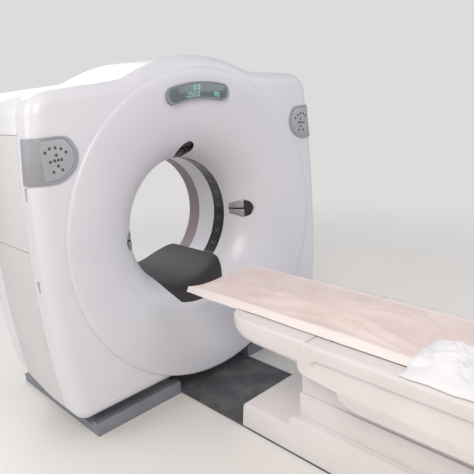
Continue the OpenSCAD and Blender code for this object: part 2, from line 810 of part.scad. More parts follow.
module table_chassis() {
  y0 = -body_end + 10;
  y1 = -body_y - 12;
  rail_top = cradle_under(cradle_w - 60) - 0.3;
  color(steel) {
    difference() {
      block(-cradle_w - 25, cradle_w + 25, y0, y1, trough_z, trough_z + 90);
      block(-cradle_w - 18, cradle_w + 18, y0 - 1, y1 + 1, trough_z + 7, trough_z + 95);
    }
    block(-cradle_w + 5, cradle_w - 5, y1 - 5, -nose_y - 173, trough_z + 45, trough_z + 53);
    for (s = [-1, 1]) {
      along_x(s > 0 ? cradle_w - 60 : 45 - cradle_w, s > 0 ? cradle_w - 45 : 60 - cradle_w) polygon([
        [y0, trough_z + 6], [y1, trough_z + 6], [y1, trough_z + 45], [-nose_y - 163, trough_z + 45],
        [-nose_y - 143, trough_z + 70], [-nose_y - 83, trough_z + 70], [-nose_y - 83, rail_top], [y0, rail_top]]);
      block(s > 0 ? cradle_w + 15 : -cradle_w - 40, s > 0 ? cradle_w + 40 : -cradle_w - 15, y0, y1 - 40,
        trough_z + 45, body_top - 6);
    }
    for (y = col_y) difference() {
      union() {
        block(-column_w / 2, column_w / 2, y - column_w / 2, y + column_w / 2, 45, trough_z + 3);
        block(-column_w / 2 - 6 + slide_gap, column_w / 2 + 6 - slide_gap, y - column_w / 2 - 6 + slide_gap,
          y + column_w / 2 + 6 - slide_gap, 45, 105);
      }
      block(-column_w / 2 + 8, column_w / 2 - 8, y - column_w / 2 + 8, y + column_w / 2 - 8, 40, trough_z - 5);
    }
  }
}

nose = [[0, 0], [4, -29], [18, -53], [46, -73], [90, -92], [153, -109], [286, -117], [441, -120]];
nose_w = table_w - 6.3;
deck_y = -body_y - 30;
function nose_side(d) = [for (p = nose) [-nose_y - p[0] - d, body_top - 1 + p[1] + d]];

module table_nose_cover() {
  color(white) difference() {
    intersection() {
      along_x(-nose_w, nose_w) polygon(concat([[-nose_y, body_top]], nose_side(0),
        [[-body_y, body_top - 48], [deck_y, body_top - 48], [deck_y, body_top]]));
      translate([0, 0, body_top - 200]) linear_extrude(300) nose_plan(0);
    }
    intersection() {
      along_x(-nose_w + 5, nose_w - 5) polygon(concat([[-nose_y - 8, body_top - 5]], nose_side(5),
        [[deck_y - 10, body_top - 116], [deck_y - 10, body_top - 5]]));
      translate([0, 0, body_top - 200]) linear_extrude(300) nose_plan(5);
    }
    block(-cradle_w - 4, cradle_w + 4, deck_y - 10, -nose_y + 50, cradle_top_z - cradle_t - 4, body_top + 100);
  }
}

// Plan of the table's nose, moved inward by d: a wide end with round corners.
module nose_plan(d) {
  for (s = [-1, 1]) translate([s * (nose_w - 120), -nose_y - 120]) circle(120 - d);
  translate([-nose_w + 120, -nose_y - 130]) square([2 * nose_w - 240, 130 - d]);
  translate([-nose_w + d, deck_y - 10]) square([2 * nose_w - 2 * d, -nose_y - 120 - deck_y + 10]);
}

module table_side_cover(s) {
  w = table_w;
  t = body_top;
  b = -body_y;
  mirror([s > 0 ? 0 : 1, 0, 0]) intersection() {
    union() {
      translate([0, b - 119, 0]) rotate([90, 0, 0]) linear_extrude(body_end - body_y - 119) polygon([
        [cradle_w + 27, t], [w, t], [w, t - 61], [w - 14, t - 67], [w - 14, t - 119], [w, t - 147], [w, under_z],
        [w - 16, under_z], [w - 16, under_z + 6], [w - 6, under_z + 6], [w - 6, t - 150], [w - 20, t - 122],
        [w - 20, t - 63], [w - 6, t - 57], [w - 6, t - 6], [cradle_w + 27, t - 6]]);
      translate([0, b + 5, 0]) rotate([90, 0, 0]) linear_extrude(124.5) polygon([
        [cradle_w + 27, t], [w, t], [w, under_z], [w - 6, under_z], [w - 6, t - 6], [cradle_w + 27, t - 6]]);
      block(w - 55, w, b - 125, b - 119, t - 160, t - 2);
    }
    along_x(200, w + 20) polygon([[b - 37, t + 3], [b - 23, t - 17], [b + 2, t - 64], [b + 5, t - 118],
      [b - 15, t - 140], [b - 81, t - 147], [b - 183, t - 159], [b - 192, t - 184], [b - 222, t - 203],
      [b - 273, under_z - 1], [-body_end - 1, under_z - 1], [-body_end - 1, t + 3]]);
  }
}

module table_left_cover() { color(white) table_side_cover(-1); }
module table_right_cover() { color(white) table_side_cover(1); }

module table_foot_cover() {
  color(white) difference() {
    translate([0, 0, under_z]) linear_extrude(body_top - under_z) foot_plan(0);
    translate([0, 0, under_z + 6]) linear_extrude(body_top - under_z - 12) foot_plan(6);
    block(-cradle_w - 4, cradle_w + 4, -foot_y - 10, -body_end + 10, cradle_top_z - cradle_t - 4, body_top + 100);
  }
}

module foot_plan(d) {
  for (s = [-1, 1]) translate([s * (table_w - 50), -foot_y + 50]) circle(50 - d);
  translate([-table_w + 50, -foot_y + d]) square([2 * table_w - 100, 60]);
  translate([-table_w + d, -foot_y + 50]) square([2 * table_w - 2 * d, foot_y - body_end - 50 + (d > 0 ? 1 : 0)]);
}

module cradle_motor() {
  y = -body_y - 107;
  color(grey) {
    block(-60, 60, y - 45, y + 45, trough_z + 7, trough_z + 80);
    translate([60, y, trough_z + 45]) rotate([0, 90, 0]) cylinder(r = 30, h = 80);
    translate([0, y, trough_z + 79]) cylinder(r = 22, h = cradle_top_z - cradle_t - trough_z - 85);
  }
}

function cradle_under(x) = cradle_top_z - cradle_t + (cradle_t - 12) * pow(x / cradle_w, 2);

module cradle() {
  w = cradle_w;
  color(dark) intersection() {
    translate([0, -cradle_y, 0]) rotate([90, 0, 0]) linear_extrude(cradle_l) polygon(concat(
      [[-w, cradle_top_z], [-w, cradle_under(w)]],
      [for (i = [-7:7]) [w * i / 8, cradle_under(w * i / 8)]],
      [[w, cradle_under(w)], [w, cradle_top_z]]));
    linear_extrude(2 * body_top) union() {
      for (s = [-1, 1]) translate([s * (w - 45), -cradle_y - 45]) circle(45);
      translate([-w + 45, -cradle_y - 60]) square([2 * w - 90, 60]);
      translate([-w, -cradle_y - cradle_l]) square([2 * w, cradle_l - 45]);
    }
  }
}

// The sheet lies flat on the cradle and turns down a little at its edges.
module sheet() {
  w = cradle_w + 2;
  color([0.97, 0.93, 0.91]) translate([0, -cradle_y - 12, 0]) rotate([90, 0, 0]) linear_extrude(1480) polygon([
    [-w - 2, cradle_top_z - 9], [-w, cradle_top_z - 9], [-w, cradle_top_z], [w, cradle_top_z],
    [w, cradle_top_z - 9], [w + 2, cradle_top_z - 9], [w + 2, cradle_top_z + sheet_t - 1],
    [w - 1, cradle_top_z + sheet_t], [-w + 1, cradle_top_z + sheet_t], [-w - 2, cradle_top_z + sheet_t - 1]]);
}

// A sheet folded in a heap, slumped over the cradle's edge onto the table's deck.
module folded_sheet() {
  z = cradle_top_z + sheet_t;
  x = -cradle_w - 4.3;
  color([0.97, 0.96, 0.96]) {
    block(x - 2, -24, -1960, -1610, z, z + 40);
    block(x + 20, -48, -1940, -1630, z + 39, z + 62);
    block(-table_w + 16, x, -1960, -1610, body_top + 1.5, z + 30);
  }
}

base_frame();
floor_plate();
left_upright();
right_upright();
left_trunnion_bearing();
right_trunnion_bearing();
tilt_gearmotor();
tilt_frame();
main_bearing();
front_cover();
front_dish();
laser_window_right();
laser_window_top();
laser_window_left();
rear_cover();
rear_dish();
top_cover();
left_upper_panel();
left_lower_panel();
right_upper_panel();
right_lower_panel();
scan_window();
bore_liner();
bore_rear_liner();
bore_lower_liner();
display_bezel();
display_lens();
left_control_panel();
right_control_panel();
left_keypad();
right_keypad();
drive_motor();
drive_pulley();
drive_belt();
brush_block();
left_fan_frame();
right_fan_frame();
left_fan();
right_fan();
rotor_drum();
xray_tube();
collimator();
detector_array();
high_voltage_tank();
inverter();
slip_ring();
table_base();
pedestal_cover();
middle_shroud();
upper_shroud();
table_chassis();
table_nose_cover();
table_left_cover();
table_right_cover();
table_foot_cover();
cradle_motor();
cradle();
sheet();
folded_sheet();
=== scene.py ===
import math

import bmesh
import bpy
from mathutils import Matrix, Vector, noise


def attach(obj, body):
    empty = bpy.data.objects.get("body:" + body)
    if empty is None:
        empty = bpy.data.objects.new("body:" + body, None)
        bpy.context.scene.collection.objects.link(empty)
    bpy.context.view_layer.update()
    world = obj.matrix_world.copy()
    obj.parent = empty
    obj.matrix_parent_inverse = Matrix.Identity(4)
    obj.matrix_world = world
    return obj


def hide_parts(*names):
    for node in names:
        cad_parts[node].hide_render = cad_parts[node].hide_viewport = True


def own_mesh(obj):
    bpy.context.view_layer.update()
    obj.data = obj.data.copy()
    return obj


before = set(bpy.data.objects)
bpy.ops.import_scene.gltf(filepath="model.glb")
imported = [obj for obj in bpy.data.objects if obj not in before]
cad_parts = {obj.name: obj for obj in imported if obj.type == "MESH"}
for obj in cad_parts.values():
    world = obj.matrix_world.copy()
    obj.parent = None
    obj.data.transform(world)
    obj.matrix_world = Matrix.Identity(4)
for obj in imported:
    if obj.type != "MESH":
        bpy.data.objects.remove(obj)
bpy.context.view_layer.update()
print("frame loaded with", len(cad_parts), "nodes")

mm = 0.001
isoHeight = 880  # bore axis above the floor, mm

# small tools for colours, nodes and meshes


def colour(code):
    parts = [int(code[i:i + 2], 16) / 255 for i in (1, 3, 5)]
    return (*[c / 12.92 if c <= 0.04045 else ((c + 0.055) / 1.055) ** 2.4 for c in parts], 1.0)


def addNode(tree, kind, settings=None, links=None):
    node = tree.nodes.new(kind)
    for key, value in (settings or {}).items():
        if isinstance(key, str) and hasattr(node, key):
            setattr(node, key, value)
        else:
            node.inputs[key].default_value = value
    for key, source in (links or {}).items():
        tree.links.new(source, node.inputs[key])
    return node


def maths(tree, operation, *values):
    # a math node between numbers and sockets
    settings, links = {"operation": operation}, {}
    for index, value in enumerate(values):
        (settings if isinstance(value, (int, float)) else links)[index] = value
    return addNode(tree, "ShaderNodeMath", settings, links).outputs[0]


def mapped(tree, value, low, high, **settings):
    # takes low to 0 and high to 1
    fields = {"From Min": low, "From Max": high, **settings}
    return addNode(tree, "ShaderNodeMapRange", fields, {"Value": value}).outputs["Result"]


def placed(name, data):
    thing = bpy.data.objects.new(name, data)
    bpy.context.scene.collection.objects.link(thing)
    return thing


def newPiece(name, points, faces, material):
    mesh = bpy.data.meshes.new(name)
    mesh.from_pydata([tuple(c * mm for c in p) for p in points], [], faces)
    piece = placed(name, mesh)
    if material:
        mesh.materials.append(material)
    tidyNormals(piece)
    return piece


def reshaped(mesh, change):
    work = bmesh.new()
    work.from_mesh(mesh)
    change(work)
    work.to_mesh(mesh)
    work.free()


def tidyNormals(piece):
    reshaped(piece.data, lambda work: bmesh.ops.recalc_face_normals(work, faces=work.faces))


def turnedOver(piece, measure):
    # turns all faces over if the measure, such as the area that looks the right way, comes out below 0
    def change(work):
        if sum(measure(face) for face in work.faces) < 0:
            bmesh.ops.reverse_faces(work, faces=work.faces)
    reshaped(piece.data, change)


def faceTowards(piece, target):
    turnedOver(piece, lambda face: math.copysign(face.calc_area(),
                                                 face.normal.dot(target - face.calc_center_median())))


def smoothed(piece, angle=35):
    piece.data.shade_smooth()
    piece.data.set_sharp_from_angle(angle=math.radians(angle))
    return piece


def evaluated(thing):
    graph = bpy.context.evaluated_depsgraph_get()
    graph.update()
    return bpy.data.meshes.new_from_object(thing.evaluated_get(graph), depsgraph=graph)


def applied(piece):
    mesh = evaluated(piece)
    piece.modifiers.clear()
    piece.data = mesh
    return piece


def carved(piece, cutters, operation="DIFFERENCE"):
    for cutter in cutters:
        step = piece.modifiers.new("cut", "BOOLEAN")
        step.operation = operation
        step.solver = "EXACT"
        step.object = cutter
    applied(piece)
    for cutter in cutters:
        bpy.data.objects.remove(cutter)
    return piece


def bevelled(piece, width, segments=3, angle=40):
    step = piece.modifiers.new("round", "BEVEL")
    step.width = width * mm
    step.segments = segments
    step.limit_method = "ANGLE"
    step.angle_limit = math.radians(angle)
    step.use_clamp_overlap = True
    return applied(piece)


def thickened(piece, depth, offset=-1):
    step = piece.modifiers.new("wall", "SOLIDIFY")
    step.thickness = depth * mm
    step.offset = offset
    return applied(piece)


def joined(name, pieces):
    work = bmesh.new()
    for piece in pieces:
        work.from_mesh(piece.data)
    mesh = bpy.data.meshes.new(name)
    work.to_mesh(mesh)
    work.free()
    for material in pieces[0].data.materials:
        mesh.materials.append(material)
    whole = placed(name, mesh)
    for piece in pieces:
        bpy.data.objects.remove(piece)
    return whole


def ready(piece, body, slot, *nodes):
    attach(piece, body)
    if nodes:
        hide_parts(*nodes)
    return piece


def box(x0, x1, y0, y1, z0, z1):
    points = [(x, y, z) for x in (x0, x1) for y in (y0, y1) for z in (z0, z1)]
    faces = [(0, 1, 3, 2), (4, 6, 7, 5), (0, 4, 5, 1), (2, 3, 7, 6), (0, 2, 6, 4), (1, 5, 7, 3)]
    return newPiece("cutter", points, faces, None)


def prism(points, direction, low, high, material=None, name="cutter"):
    # points lie across the direction: (x, z) for "y", (y, z) for "x" and (x, y) for "z"
    def place(p, d):
        return {"y": (p[0], d, p[1]), "x": (d, p[0], p[1]), "z": (p[0], p[1], d)}[direction]
    n = len(points)
    verts = [place(p, low) for p in points] + [place(p, high) for p in points]
    faces = [tuple(range(n)), tuple(range(2 * n - 1, n - 1, -1))]
    faces += [(i, (i + 1) % n, (i + 1) % n + n, i + n) for i in range(n)]
    return newPiece(name, verts, faces, material)


def disc(radius, y0, y1, steps=192):
    turns = [2 * math.pi * i / steps for i in range(steps)]
    return prism([(radius * math.cos(a), isoHeight + radius * math.sin(a)) for a in turns], "y", y0, y1)


def gridFaces(rows, columns):
    # quads between rows + 1 by columns + 1 points that are listed row after row
    corners = [i * (columns + 1) + j for i in range(rows) for j in range(columns)]
    return [(a, a + columns + 1, a + columns + 2, a + 1) for a in corners]


def lofted(name, rings, material, loop=False):
    n = len(rings[0])
    points = [p for ring in rings for p in ring]
    faces = []
    for j in range(len(rings) if loop else len(rings) - 1):
        a, b = j * n, (j + 1) % len(rings) * n
        faces += [(a + i, a + (i + 1) % n, b + (i + 1) % n, b + i) for i in range(n)]
    if not loop:
        faces += [tuple(range(n - 1, -1, -1)), tuple(range((len(rings) - 1) * n, len(rings) * n))]
    return newPiece(name, points, faces, material)


def curveThrough(points, steps, closed=True):
    # a smooth line through the points
    n = len(points)
    line = []
    for i in range(n if closed else n - 1):
        p = [points[(i + k) % n] if closed else points[min(max(i + k, 0), n - 1)] for k in (-1, 0, 1, 2)]
        for j in range(steps):
            t = j / steps
            line.append(tuple(0.5 * ((2 * b) + (c - a) * t + (2 * a - 5 * b + 4 * c - d) * t * t
                        + (3 * b - a - 3 * c + d) * t ** 3) for a, b, c, d in zip(*p)))
    if not closed:
        line.append(points[-1])
    return line


# camera, as the photograph was taken: mm, degrees, and the lens on a 36 mm wide film
shot = {"place": (-1802.6, -2470.9, 1597.1), "yaw": 42.808, "pitch": 15.642, "roll": -4.247, "lens": 41.974}


def setCamera():
    yaw, pitch, roll = (math.radians(shot[k]) for k in ("yaw", "pitch", "roll"))
    ahead = Vector((math.sin(yaw) * math.cos(pitch), math.cos(yaw) * math.cos(pitch), -math.sin(pitch)))
    level = Vector((math.cos(yaw), -math.sin(yaw), 0))
    upright = level.cross(ahead)
    right = math.cos(roll) * level + math.sin(roll) * upright
    up = -math.sin(roll) * level + math.cos(roll) * upright
    data = bpy.data.cameras.new("camera")
    data.lens = shot["lens"]
    data.sensor_width = 36
    data.sensor_fit = "HORIZONTAL"
    data.clip_start = 0.05
    camera = placed("camera", data)
    turn = Matrix((right, up, -ahead)).transposed().to_4x4()
    camera.matrix_world = Matrix.Translation(Vector(shot["place"]) * mm) @ turn
    bpy.context.scene.camera = camera


setCamera()
print("camera set")

# materials


def surface(name, base, second, patch=0.4, grain=0.004, bump=0.0002, dull=(0.35, 0.45), shader=None, stretch=None,
            drift=(0.35, 0.75)):
    # the base colour drifts to a second tone over patches, and fine grain gives bump and uneven gloss
    material = bpy.data.materials.new(name)
    material.use_nodes = True
    tree = material.node_tree
    skin = tree.nodes["Principled BSDF"]
    place = addNode(tree, "ShaderNodeTexCoord").outputs["Object"]
    if stretch:
        place = addNode(tree, "ShaderNodeMapping", {"Scale": stretch}, {"Vector": place}).outputs["Vector"]
    patches = addNode(tree, "ShaderNodeTexNoise", {"Scale": 1 / patch, "Detail": 4.0, "Roughness": 0.55},
                      {"Vector": place})
    share = mapped(tree, patches.outputs["Fac"], *drift)
    blend = addNode(tree, "ShaderNodeMix", {"data_type": "RGBA"}, {0: share})
    blend.inputs[6].default_value = colour(base)
    blend.inputs[7].default_value = colour(second)
    specks = addNode(tree, "ShaderNodeTexNoise", {"Scale": 1 / grain, "Detail": 2.0}, {"Vector": place})
    gloss = mapped(tree, specks.outputs["Fac"], 0, 1, **{"To Min": dull[0], "To Max": dull[1]})
    relief = addNode(tree, "ShaderNodeBump", {"Strength": 0.25, "Distance": bump}, {"Height": specks.outputs["Fac"]})
    tree.links.new(blend.outputs[2], skin.inputs["Base Color"])
    tree.links.new(gloss, skin.inputs["Roughness"])
    tree.links.new(relief.outputs["Normal"], skin.inputs["Normal"])
    for socket, value in (shader or {}).items():
        skin.inputs[socket].default_value = value
    return material


def recoloured(material, code, mask):
    # lays another colour over the base where the mask is 1
    tree = material.node_tree
    shader = tree.nodes["Principled BSDF"]
    below = shader.inputs["Base Color"].links[0].from_socket
    over = addNode(tree, "ShaderNodeMix", {"data_type": "RGBA"}, {0: mask, 6: below})
    over.inputs[7].default_value = colour(code)
    tree.links.new(over.outputs[2], shader.inputs["Base Color"])


# base, second tone, size of the patches and of the grain and depth of the grain in m, roughness from and to,
# then what the shader, the stretch and the drift between the tones need besides
finishes = {
    # polyurethane moulding, sprayed in smooth enamel: cool white, soft highlights, a faint orange peel
    "coverEnamel": ("#dcdce3", "#d2d2da", 0.7, 0.006, 0.00006, (0.3, 0.38), {"Specular IOR Level": 0.5,
                    "Coat Weight": 0.15}),
    # the same enamel on the table: warmer, a little duller from handling
    "tableEnamel": ("#e2dedd", "#d8d2d1", 0.5, 0.006, 0.00006, (0.34, 0.44), {"Coat Weight": 0.1}),
    # pressed ABS side panels: matt and warmer than the front; their greyer tone is painted shade, for the sides
    # turned away from the light
    "sideShadedEnamel": ("#d3d0d2", "#c9c5c6", 0.6, 0.003, 0.0001, (0.42, 0.52)),
    # grained ABS in mid grey: the pads round the front edge
    "padPlastic": ("#9b9ca3", "#93949b", 0.2, 0.0012, 0.00012, (0.42, 0.55)),
    # thermoformed polycarbonate film of the pads' mats, a little lighter than the plastic
    "matFilm": ("#a9abb0", "#a1a3a9", 0.1, 0.0008, 0.00005, (0.35, 0.42)),
    # silicone keys: dark, soft, no gloss
    "keySilicone": ("#4a5156", "#41484d", 0.05, 0.0006, 0.00005, (0.6, 0.7)),
    # smoked acrylic display window: grey-green, glossy
    "smokedAcrylic": ("#687479", "#5e6a6e", 0.12, 0.004, 0.00002, (0.12, 0.18), {"Coat Weight": 0.3}),
    # moulded dark ABS bezel
    "bezelPlastic": ("#8b9196", "#82888d", 0.1, 0.001, 0.00008, (0.35, 0.45)),
    # black polyester film over the scan plane: glossy, with paler sensor fields
    "scanFilm": ("#0f0f11", "#161417", 0.2, 0.01, 0.00003, (0.16, 0.24)),
    # vacuum-formed dark liner in the foot of the bore: satin
    "linerPlastic": ("#2f2d32", "#28272b", 0.25, 0.002, 0.0001, (0.5, 0.62)),
    # moulding behind the light ring of the bore, painted grey-brown as the shade deep inside the bore
    "boreShadeBrown": ("#94878a", "#8a7d80", 0.3, 0.003, 0.00008, (0.4, 0.5)),
    # powder-coated steel of the base: blue-grey, fine texture, scuffed
    "powderCoat": ("#858a94", "#757a84", 0.25, 0.0015, 0.0002, (0.45, 0.6)),
    # powder coat of the frames behind the covers and under the table, painted dark as the shade in the gaps around
    # them
    "frameCoat": ("#474d59", "#3d434e", 0.3, 0.002, 0.0002, (0.45, 0.6)),
    # worn floor plate: dark enamel rubbed to a grey-green bloom by feet and trolleys
    "wornPlate": ("#4c4f53", "#6b6f70", 0.16, 0.003, 0.0002, (0.35, 0.65), None, None, (0.42, 0.72)),
    # machined steel, brushed round the axis
    "machinedSteel": ("#b4b6ba", "#a2a5aa", 0.1, 0.002, 0.00008, (0.28, 0.4), {"Metallic": 1.0}, (1, 12, 1)),
    # cast and painted housings of motors and boxes
    "housingPaint": ("#8f9195", "#83858a", 0.12, 0.004, 0.0003, (0.4, 0.55)),
    # milled aluminium of the drum and its boxes
    "milledAlloy": ("#c2c4c8", "#b4b6bb", 0.15, 0.0015, 0.00006, (0.3, 0.42), {"Metallic": 1.0}),
    # black anodised and plastic housings
    "blackHousing": ("#222327", "#2b2c30", 0.1, 0.002, 0.0001, (0.4, 0.5)),
    # copper alloy tracks of the slip ring
    "trackCopper": ("#c48f5a", "#b37c48", 0.1, 0.002, 0.00005, (0.2, 0.32), {"Metallic": 1.0}),
    # ribbed rubber of the drive belt
    "beltRubber": ("#1b1b1c", "#242425", 0.05, 0.002, 0.0003, (0.6, 0.75)),
    # carbon-fibre composite of the cradle: near black, satin
    "cradleComposite": ("#2a2a2f", "#34343a", 0.02, 0.0015, 0.0001, (0.35, 0.45)),
    # dark rim of a light window, behind its acrylic
    "windowDark": ("#231a1d", "#2b2124", 0.05, 0.002, 0.00003, (0.15, 0.22)),
    # satin aluminium of the light windows
    "windowAlloy": ("#a7a7ad", "#9b9ba1", 0.05, 0.001, 0.00004, (0.3, 0.4), {"Metallic": 0.4}),
}
made = {name: surface(name, *row) for name, row in finishes.items()}


def digitGlow():
    material = surface("displayDigits", "#8fcabf", "#8fcabf", dull=(0.4, 0.5))
    shader = material.node_tree.nodes["Principled BSDF"]
    shader.inputs["Emission Color"].default_value = colour("#7fc4b6")
    shader.inputs["Emission Strength"].default_value = 0.25
    return material


def clothWeave(name, base, second):
    # plain-weave cotton; the threads are drawn 2 mm wide, four times the real ones, so that they show
    thread = 0.002
    material = surface(name, base, second, 0.18, 0.003, 0.0003, (0.8, 0.9),
                       {"Sheen Weight": 0.25, "Specular IOR Level": 0.2})
    tree = material.node_tree
    shader = tree.nodes["Principled BSDF"]
    flat = addNode(tree, "ShaderNodeUVMap", {"uv_map": "flat"}).outputs["UV"]
    # a wave of scale s comes again after 0.314 / s: one thread over and one under
    threads = [addNode(tree, "ShaderNodeTexWave", {"bands_direction": way, "Scale": 0.157 / thread,
                       "Distortion": 0.6, "Detail": 1.0}, {"Vector": flat}).outputs["Fac"] for way in ("X", "Y")]
    weave = maths(tree, "MULTIPLY", *threads)
    under = shader.inputs["Normal"].links[0].from_socket
    bump = addNode(tree, "ShaderNodeBump", {"Strength": 0.25, "Distance": 0.0004},
                   {"Height": weave, "Normal": under})
    tree.links.new(bump.outputs["Normal"], shader.inputs["Normal"])
    return material


made["displayDigits"] = digitGlow()
made["cottonPink"] = clothWeave("cottonPink", "#e6d6d2", "#d9c6c2")
made["cottonWhite"] = clothWeave("cottonWhite", "#ededf0", "#e2e1e6")


# painted highlight on the sheet's hem: a paler colour over the band where it turns down over the edge
litHemPaint = {"colour": "#f4ecea", "from": 0.190, "to": 0.206, "share": 0.8}  # m from the middle of the sheet


def paintLitHem():
    # painted highlight: the border of the sheet, where it turns down over the cradle's edge, is painted whiter as if
    # lit
    tree = made["cottonPink"].node_tree
    flat = addNode(tree, "ShaderNodeUVMap", {"uv_map": "flat"}).outputs["UV"]
    split = addNode(tree, "ShaderNodeSeparateXYZ", None, {0: flat})
    out = maths(tree, "ABSOLUTE", split.outputs["X"])
    mask = mapped(tree, out, litHemPaint["from"], litHemPaint["to"], **{"To Max": litHemPaint["share"]})
    recoloured(made["cottonPink"], litHemPaint["colour"], mask)


paintLitHem()


# sensor fields: how many in a full turn, share of the ring they take, middle and half width along the bore in m
sensorFields = {"colour": "#3a373a", "count": 28, "share": 0.34, "middle": -0.004, "half": 0.02}


def scanFields():
    # paler fields along the black ring, at even angles about the bore
    tree = made["scanFilm"].node_tree
    place = addNode(tree, "ShaderNodeTexCoord").outputs["Object"]
    split = addNode(tree, "ShaderNodeSeparateXYZ", None, {0: place})
    angle = maths(tree, "ARCTAN2", maths(tree, "SUBTRACT", split.outputs["Z"], isoHeight * mm), split.outputs["X"])
    part = maths(tree, "FRACT", maths(tree, "MULTIPLY", angle, sensorFields["count"] / 2 / math.pi))
    inside = maths(tree, "LESS_THAN", part, sensorFields["share"])
    middle = maths(tree, "COMPARE", split.outputs["Y"], sensorFields["middle"], sensorFields["half"])
    recoloured(made["scanFilm"], sensorFields["colour"], maths(tree, "MULTIPLY", inside, middle))


scanFields()
print("materials made:", len(made))

# covers of the gantry, in mm; z is from the bore axis
cover = {"front": -310, "seamFront": -175, "seamRear": 205, "rear": 525, "wall": 12, "edge": 60, "seam": 4,
         # outline, from the bore axis: the sides are widest at sideMid and the arch meets the shoulders at a crown
         "sideWidth": 905, "sideMid": -50, "sideBend": 10000, "arch": 862, "shoulder": 775, "shoulderBend": 17000,
         "crown": 13, "skirt": 755, "upCorner": 110, "lowCorner": 70, "count": 420,
         "hole": 792, "rearHole": 586, "topSeam": 569, "midSeam": 70, "skin": 6,
         # latch slots: (x, half width), y range, heights of their feet, height of a slot
         "slotX": (887, 22), "slotY": (-232, -212), "slotZ": (300, -105), "slotHigh": 55,
         "vents": {"x": 640, "half": 45, "z": 240, "high": 10, "pitch": 26, "count": 5},
         # what the tilt needs free low down, as (y, height below the bore axis)
         "bandTail": [(-190, 735), (-145, 735), (15, 700), (210, 654)],
         "rearTail": [(190, 658), (265, 610), (375, 480), (570, 310)]}


def sideAt(z):
    return cover["sideWidth"] - (z - cover["sideMid"]) ** 2 / cover["sideBend"]


def tailCutter(line):
    points = [(y, isoHeight - drop) for y, drop in line]
    return prism([(line[0][0], 0)] + points + [(line[-1][0], 0)], "x", -1000, 1000)


def coverOutline():
    c = cover

    def arc(x, z, r, a0, a1, n):
        turns = [math.radians(a0 + (a1 - a0) * i / n) for i in range(n + 1)]
        return [(x + r * math.cos(a), z + r * math.sin(a)) for a in turns]

    def crownZ(x):
        a, b = math.sqrt(max(c["arch"] ** 2 - x * x, 0)), c["shoulder"] - x * x / c["shoulderBend"]
        return (a + b + math.hypot(a - b, c["crown"])) / 2
    lowZ = -c["skirt"] + c["lowCorner"]
    lowX = sideAt(lowZ) - c["lowCorner"]
    upX = sideAt(c["shoulder"] - 140) - c["upCorner"]
    upZ = crownZ(upX) - c["upCorner"]
    half = [(0, -c["skirt"])] + arc(lowX, lowZ, c["lowCorner"], -90, 0, 16)
    half += [(sideAt(z), z) for z in [lowZ + (upZ - lowZ) * i / 60 for i in range(1, 60)]]
    half += arc(upX, upZ, c["upCorner"], 0, 90, 20)
    half += [(upX * (1 - i / 80), crownZ(upX * (1 - i / 80))) for i in range(1, 81)]
    line = half + [(-x, z) for x, z in half[-2:0:-1]]
    lengths = [0.0]
    for a, b in zip(line, line[1:] + line[:1]):
        lengths.append(lengths[-1] + math.dist(a, b))
    even, k = [], 0
    for i in range(c["count"]):
        at = lengths[-1] * i / c["count"]
        while lengths[k + 1] < at:
            k += 1
        share = (at - lengths[k]) / (lengths[k + 1] - lengths[k])
        a, b = line[k], line[(k + 1) % len(line)]
        even.append((a[0] + (b[0] - a[0]) * share, a[1] + (b[1] - a[1]) * share))
    return even


outline = coverOutline()
outward = []
for i in range(len(outline)):
    a, b = outline[i - 1], outline[(i + 1) % len(outline)]
    length = math.dist(a, b)
    outward.append(((b[1] - a[1]) / length, (a[0] - b[0]) / length))


def coverRing(inset, scale, y):
    return [((p[0] - inset * n[0]) * scale, y, (p[1] - inset * n[1]) * scale + isoHeight)
            for p, n in zip(outline, outward)]


def frontRound(inset, steps):
    e, front = cover["edge"], cover["front"]
    angles = [math.pi / 2 * i / steps for i in range(steps + 1)]
    return [coverRing(inset + (e - inset) * (1 - math.sin(a)), 1, front + inset + (e - inset) * (1 - math.cos(a)))
            for a in angles]


def makeFrontCover():
    c = cover
    lip = [coverRing(0, 1, c["seamFront"] - 2), coverRing(1.5, 1, c["seamFront"])]
    rings = frontRound(0, 12) + lip + [coverRing(c["wall"], 1, c["seamFront"])] + frontRound(c["wall"], 6)[::-1]
    piece = lofted("frontCover", rings, made["coverEnamel"])
    x, half = c["slotX"]
    slots = [box(side * x - half, side * x + half, *c["slotY"], isoHeight + z, isoHeight + z + c["slotHigh"])
             for side in (-1, 1) for z in c["slotZ"]]
    floor = box(-800, 800, c["front"] + 20, 0, isoHeight - c["skirt"] - 20, isoHeight - c["skirt"] + 30)
    carved(piece, [disc(c["hole"], c["front"] - 20, c["front"] + 60), floor] + slots)
    return ready(smoothed(piece), "gantry", "cover_white", "front_cover")


def tube(name, profile, material):
    # a closed loop of (inset, y) swept along the outline
    return lofted(name, [coverRing(d, 1, y) for d, y in profile], material, loop=True)


def makeBand(name, low, high, side, material, node):
    c = cover
    y0, y1, seam, thin = c["seamFront"], c["seamRear"], c["seam"], c["skin"]
    skin = tube(name + "Skin", [(0, y0 + seam + 3), (0.9, y0 + seam + 0.9), (3, y0 + seam), (thin, y0 + seam),
                (thin, y1 - seam), (3, y1 - seam), (0.9, y1 - seam - 0.9), (0, y1 - seam - 3)], material)
    back = tube(name + "Back", [(thin, y0), (c["wall"], y0), (c["wall"], y1), (thin, y1)], material)
    x0, x1 = (-1000, 1000) if side == 0 else (min(0, side * 1000), max(0, side * 1000))
    for part, gap in ((skin, seam / 2), (back, 0)):
        carved(part, [box(x0, x1, -400, 600, isoHeight + low + gap, isoHeight + high - gap)], "INTERSECT")
        if low < -c["skirt"]:
            carved(part, [tailCutter(c["bandTail"])])
    piece = joined(name, [skin, back])
    return ready(smoothed(piece), "gantry", "cover_white", node)


